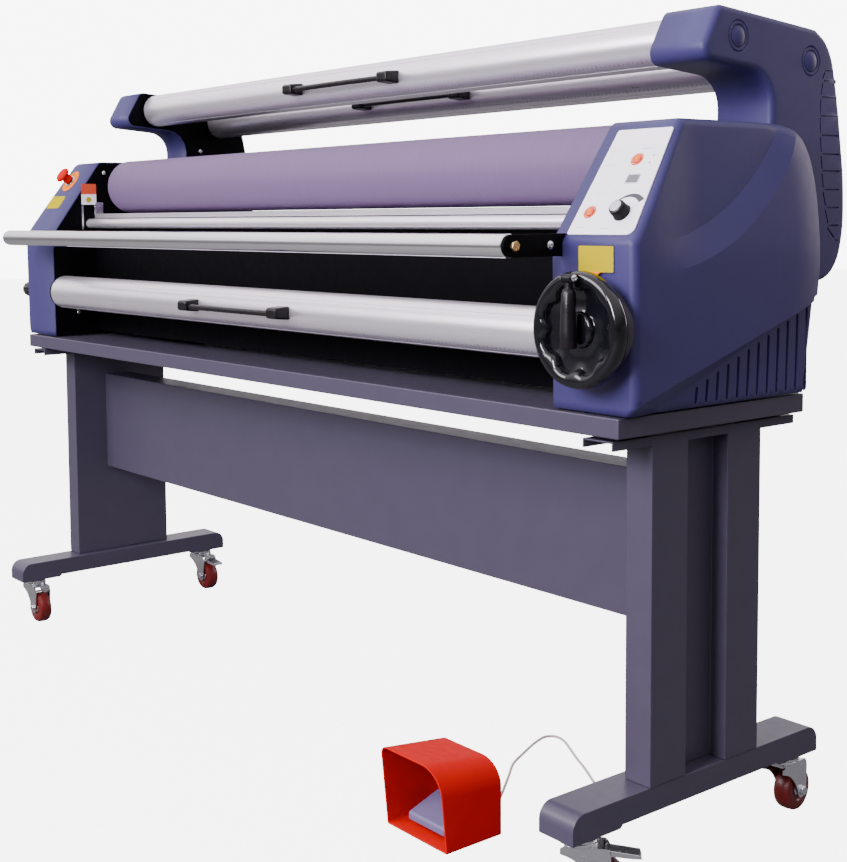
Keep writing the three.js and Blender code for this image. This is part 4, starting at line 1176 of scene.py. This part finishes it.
AMBIENT = 0.12
BACKDROP = 8.0
FLOOR_GLOW = 6.0
FLOOR_HALF = 20  # metres
SKY = (  # an axis of the view direction, where along it the light starts and is whole, and its strength
    ("Z", 0.1, 0.8, 1.3), ("X", 0.1, -0.8, 1.0), ("Y", 0.0, -0.9, 0.25),
)


def arithmetic(tree, operation, first, second=None):
    node = tree.nodes.new("ShaderNodeMath")
    node.operation = operation
    tree.links.new(first, node.inputs[0])
    if second is not None:
        tree.links.new(second, node.inputs[1])
    return node


def make_world():
    """A white backdrop, whose light is strong from above and the left, and weak at the horizon in front."""
    world = bpy.data.worlds.new("studio")
    world.use_nodes = True
    tree = world.node_tree
    nodes, links = tree.nodes, tree.links
    direction = nodes.new("ShaderNodeTexCoord")
    split = nodes.new("ShaderNodeSeparateXYZ")
    links.new(direction.outputs["Generated"], split.inputs["Vector"])
    total = None
    for axis, start, end, strength in SKY:
        part = ranged(tree, split.outputs[axis], start, end, 0, strength)
        added = arithmetic(tree, "ADD", part.outputs["Result"], total)
        if total is None:
            added.inputs[1].default_value = AMBIENT
        total = added.outputs["Value"]
    level = arithmetic(tree, "ABSOLUTE", split.outputs["Z"])
    backlight = ranged(tree, split.outputs["Y"], -0.3, 0.4, 0.25, 2.2, smooth=False)
    horizon = ranged(tree, level.outputs["Value"], 0.03, 0.2, 0, 1)
    links.new(backlight.outputs["Result"], horizon.inputs["To Min"])
    banded = arithmetic(tree, "MULTIPLY", total, horizon.outputs["Result"])
    light = nodes["Background"]
    light.inputs["Color"].default_value = (1, 0.95, 1, 1)
    links.new(banded.outputs["Value"], light.inputs["Strength"])
    backdrop = nodes.new("ShaderNodeBackground")
    backdrop.inputs["Color"].default_value = (1, 1, 1, 1)
    backdrop.inputs["Strength"].default_value = BACKDROP
    rays = nodes.new("ShaderNodeLightPath")
    choice = nodes.new("ShaderNodeMixShader")
    links.new(rays.outputs["Is Camera Ray"], choice.inputs["Fac"])
    links.new(light.outputs["Background"], choice.inputs[1])
    links.new(backdrop.outputs["Background"], choice.inputs[2])
    links.new(choice.outputs["Shader"], nodes["World Output"].inputs["Surface"])
    bpy.context.scene.world = world


def make_floor():
    """A floor that the camera sees about as pale as the backdrop, and that throws little light back."""
    material = bpy.data.materials.new("studio_floor")
    material.use_nodes = True
    nodes, links = material.node_tree.nodes, material.node_tree.links
    shader = nodes["Principled BSDF"]
    shader.inputs["Base Color"].default_value = (0.15, 0.15, 0.15, 1)
    shader.inputs["Roughness"].default_value = 0.9
    shader.inputs["Specular IOR Level"].default_value = 0.0
    glow = nodes.new("ShaderNodeEmission")
    glow.inputs["Strength"].default_value = FLOOR_GLOW
    rays = nodes.new("ShaderNodeLightPath")
    seen = nodes.new("ShaderNodeMixShader")
    links.new(rays.outputs["Is Camera Ray"], seen.inputs["Fac"])
    links.new(glow.outputs["Emission"], seen.inputs[2])
    both = nodes.new("ShaderNodeAddShader")
    links.new(shader.outputs["BSDF"], both.inputs[0])
    links.new(seen.outputs["Shader"], both.inputs[1])
    links.new(both.outputs["Shader"], nodes["Material Output"].inputs["Surface"])
    mesh = bpy.data.meshes.new("floor")
    corners = [(x * FLOOR_HALF, y * FLOOR_HALF, -MM) for x, y in ((-1, -1), (1, -1), (1, 1), (-1, 1))]
    mesh.from_pydata(corners, [], [(0, 1, 2, 3)])
    mesh.materials.append(material)
    floor = bpy.data.objects.new("floor", mesh)
    bpy.context.scene.collection.objects.link(floor)


make_world()
make_floor()

bpy.context.view_layer.update()
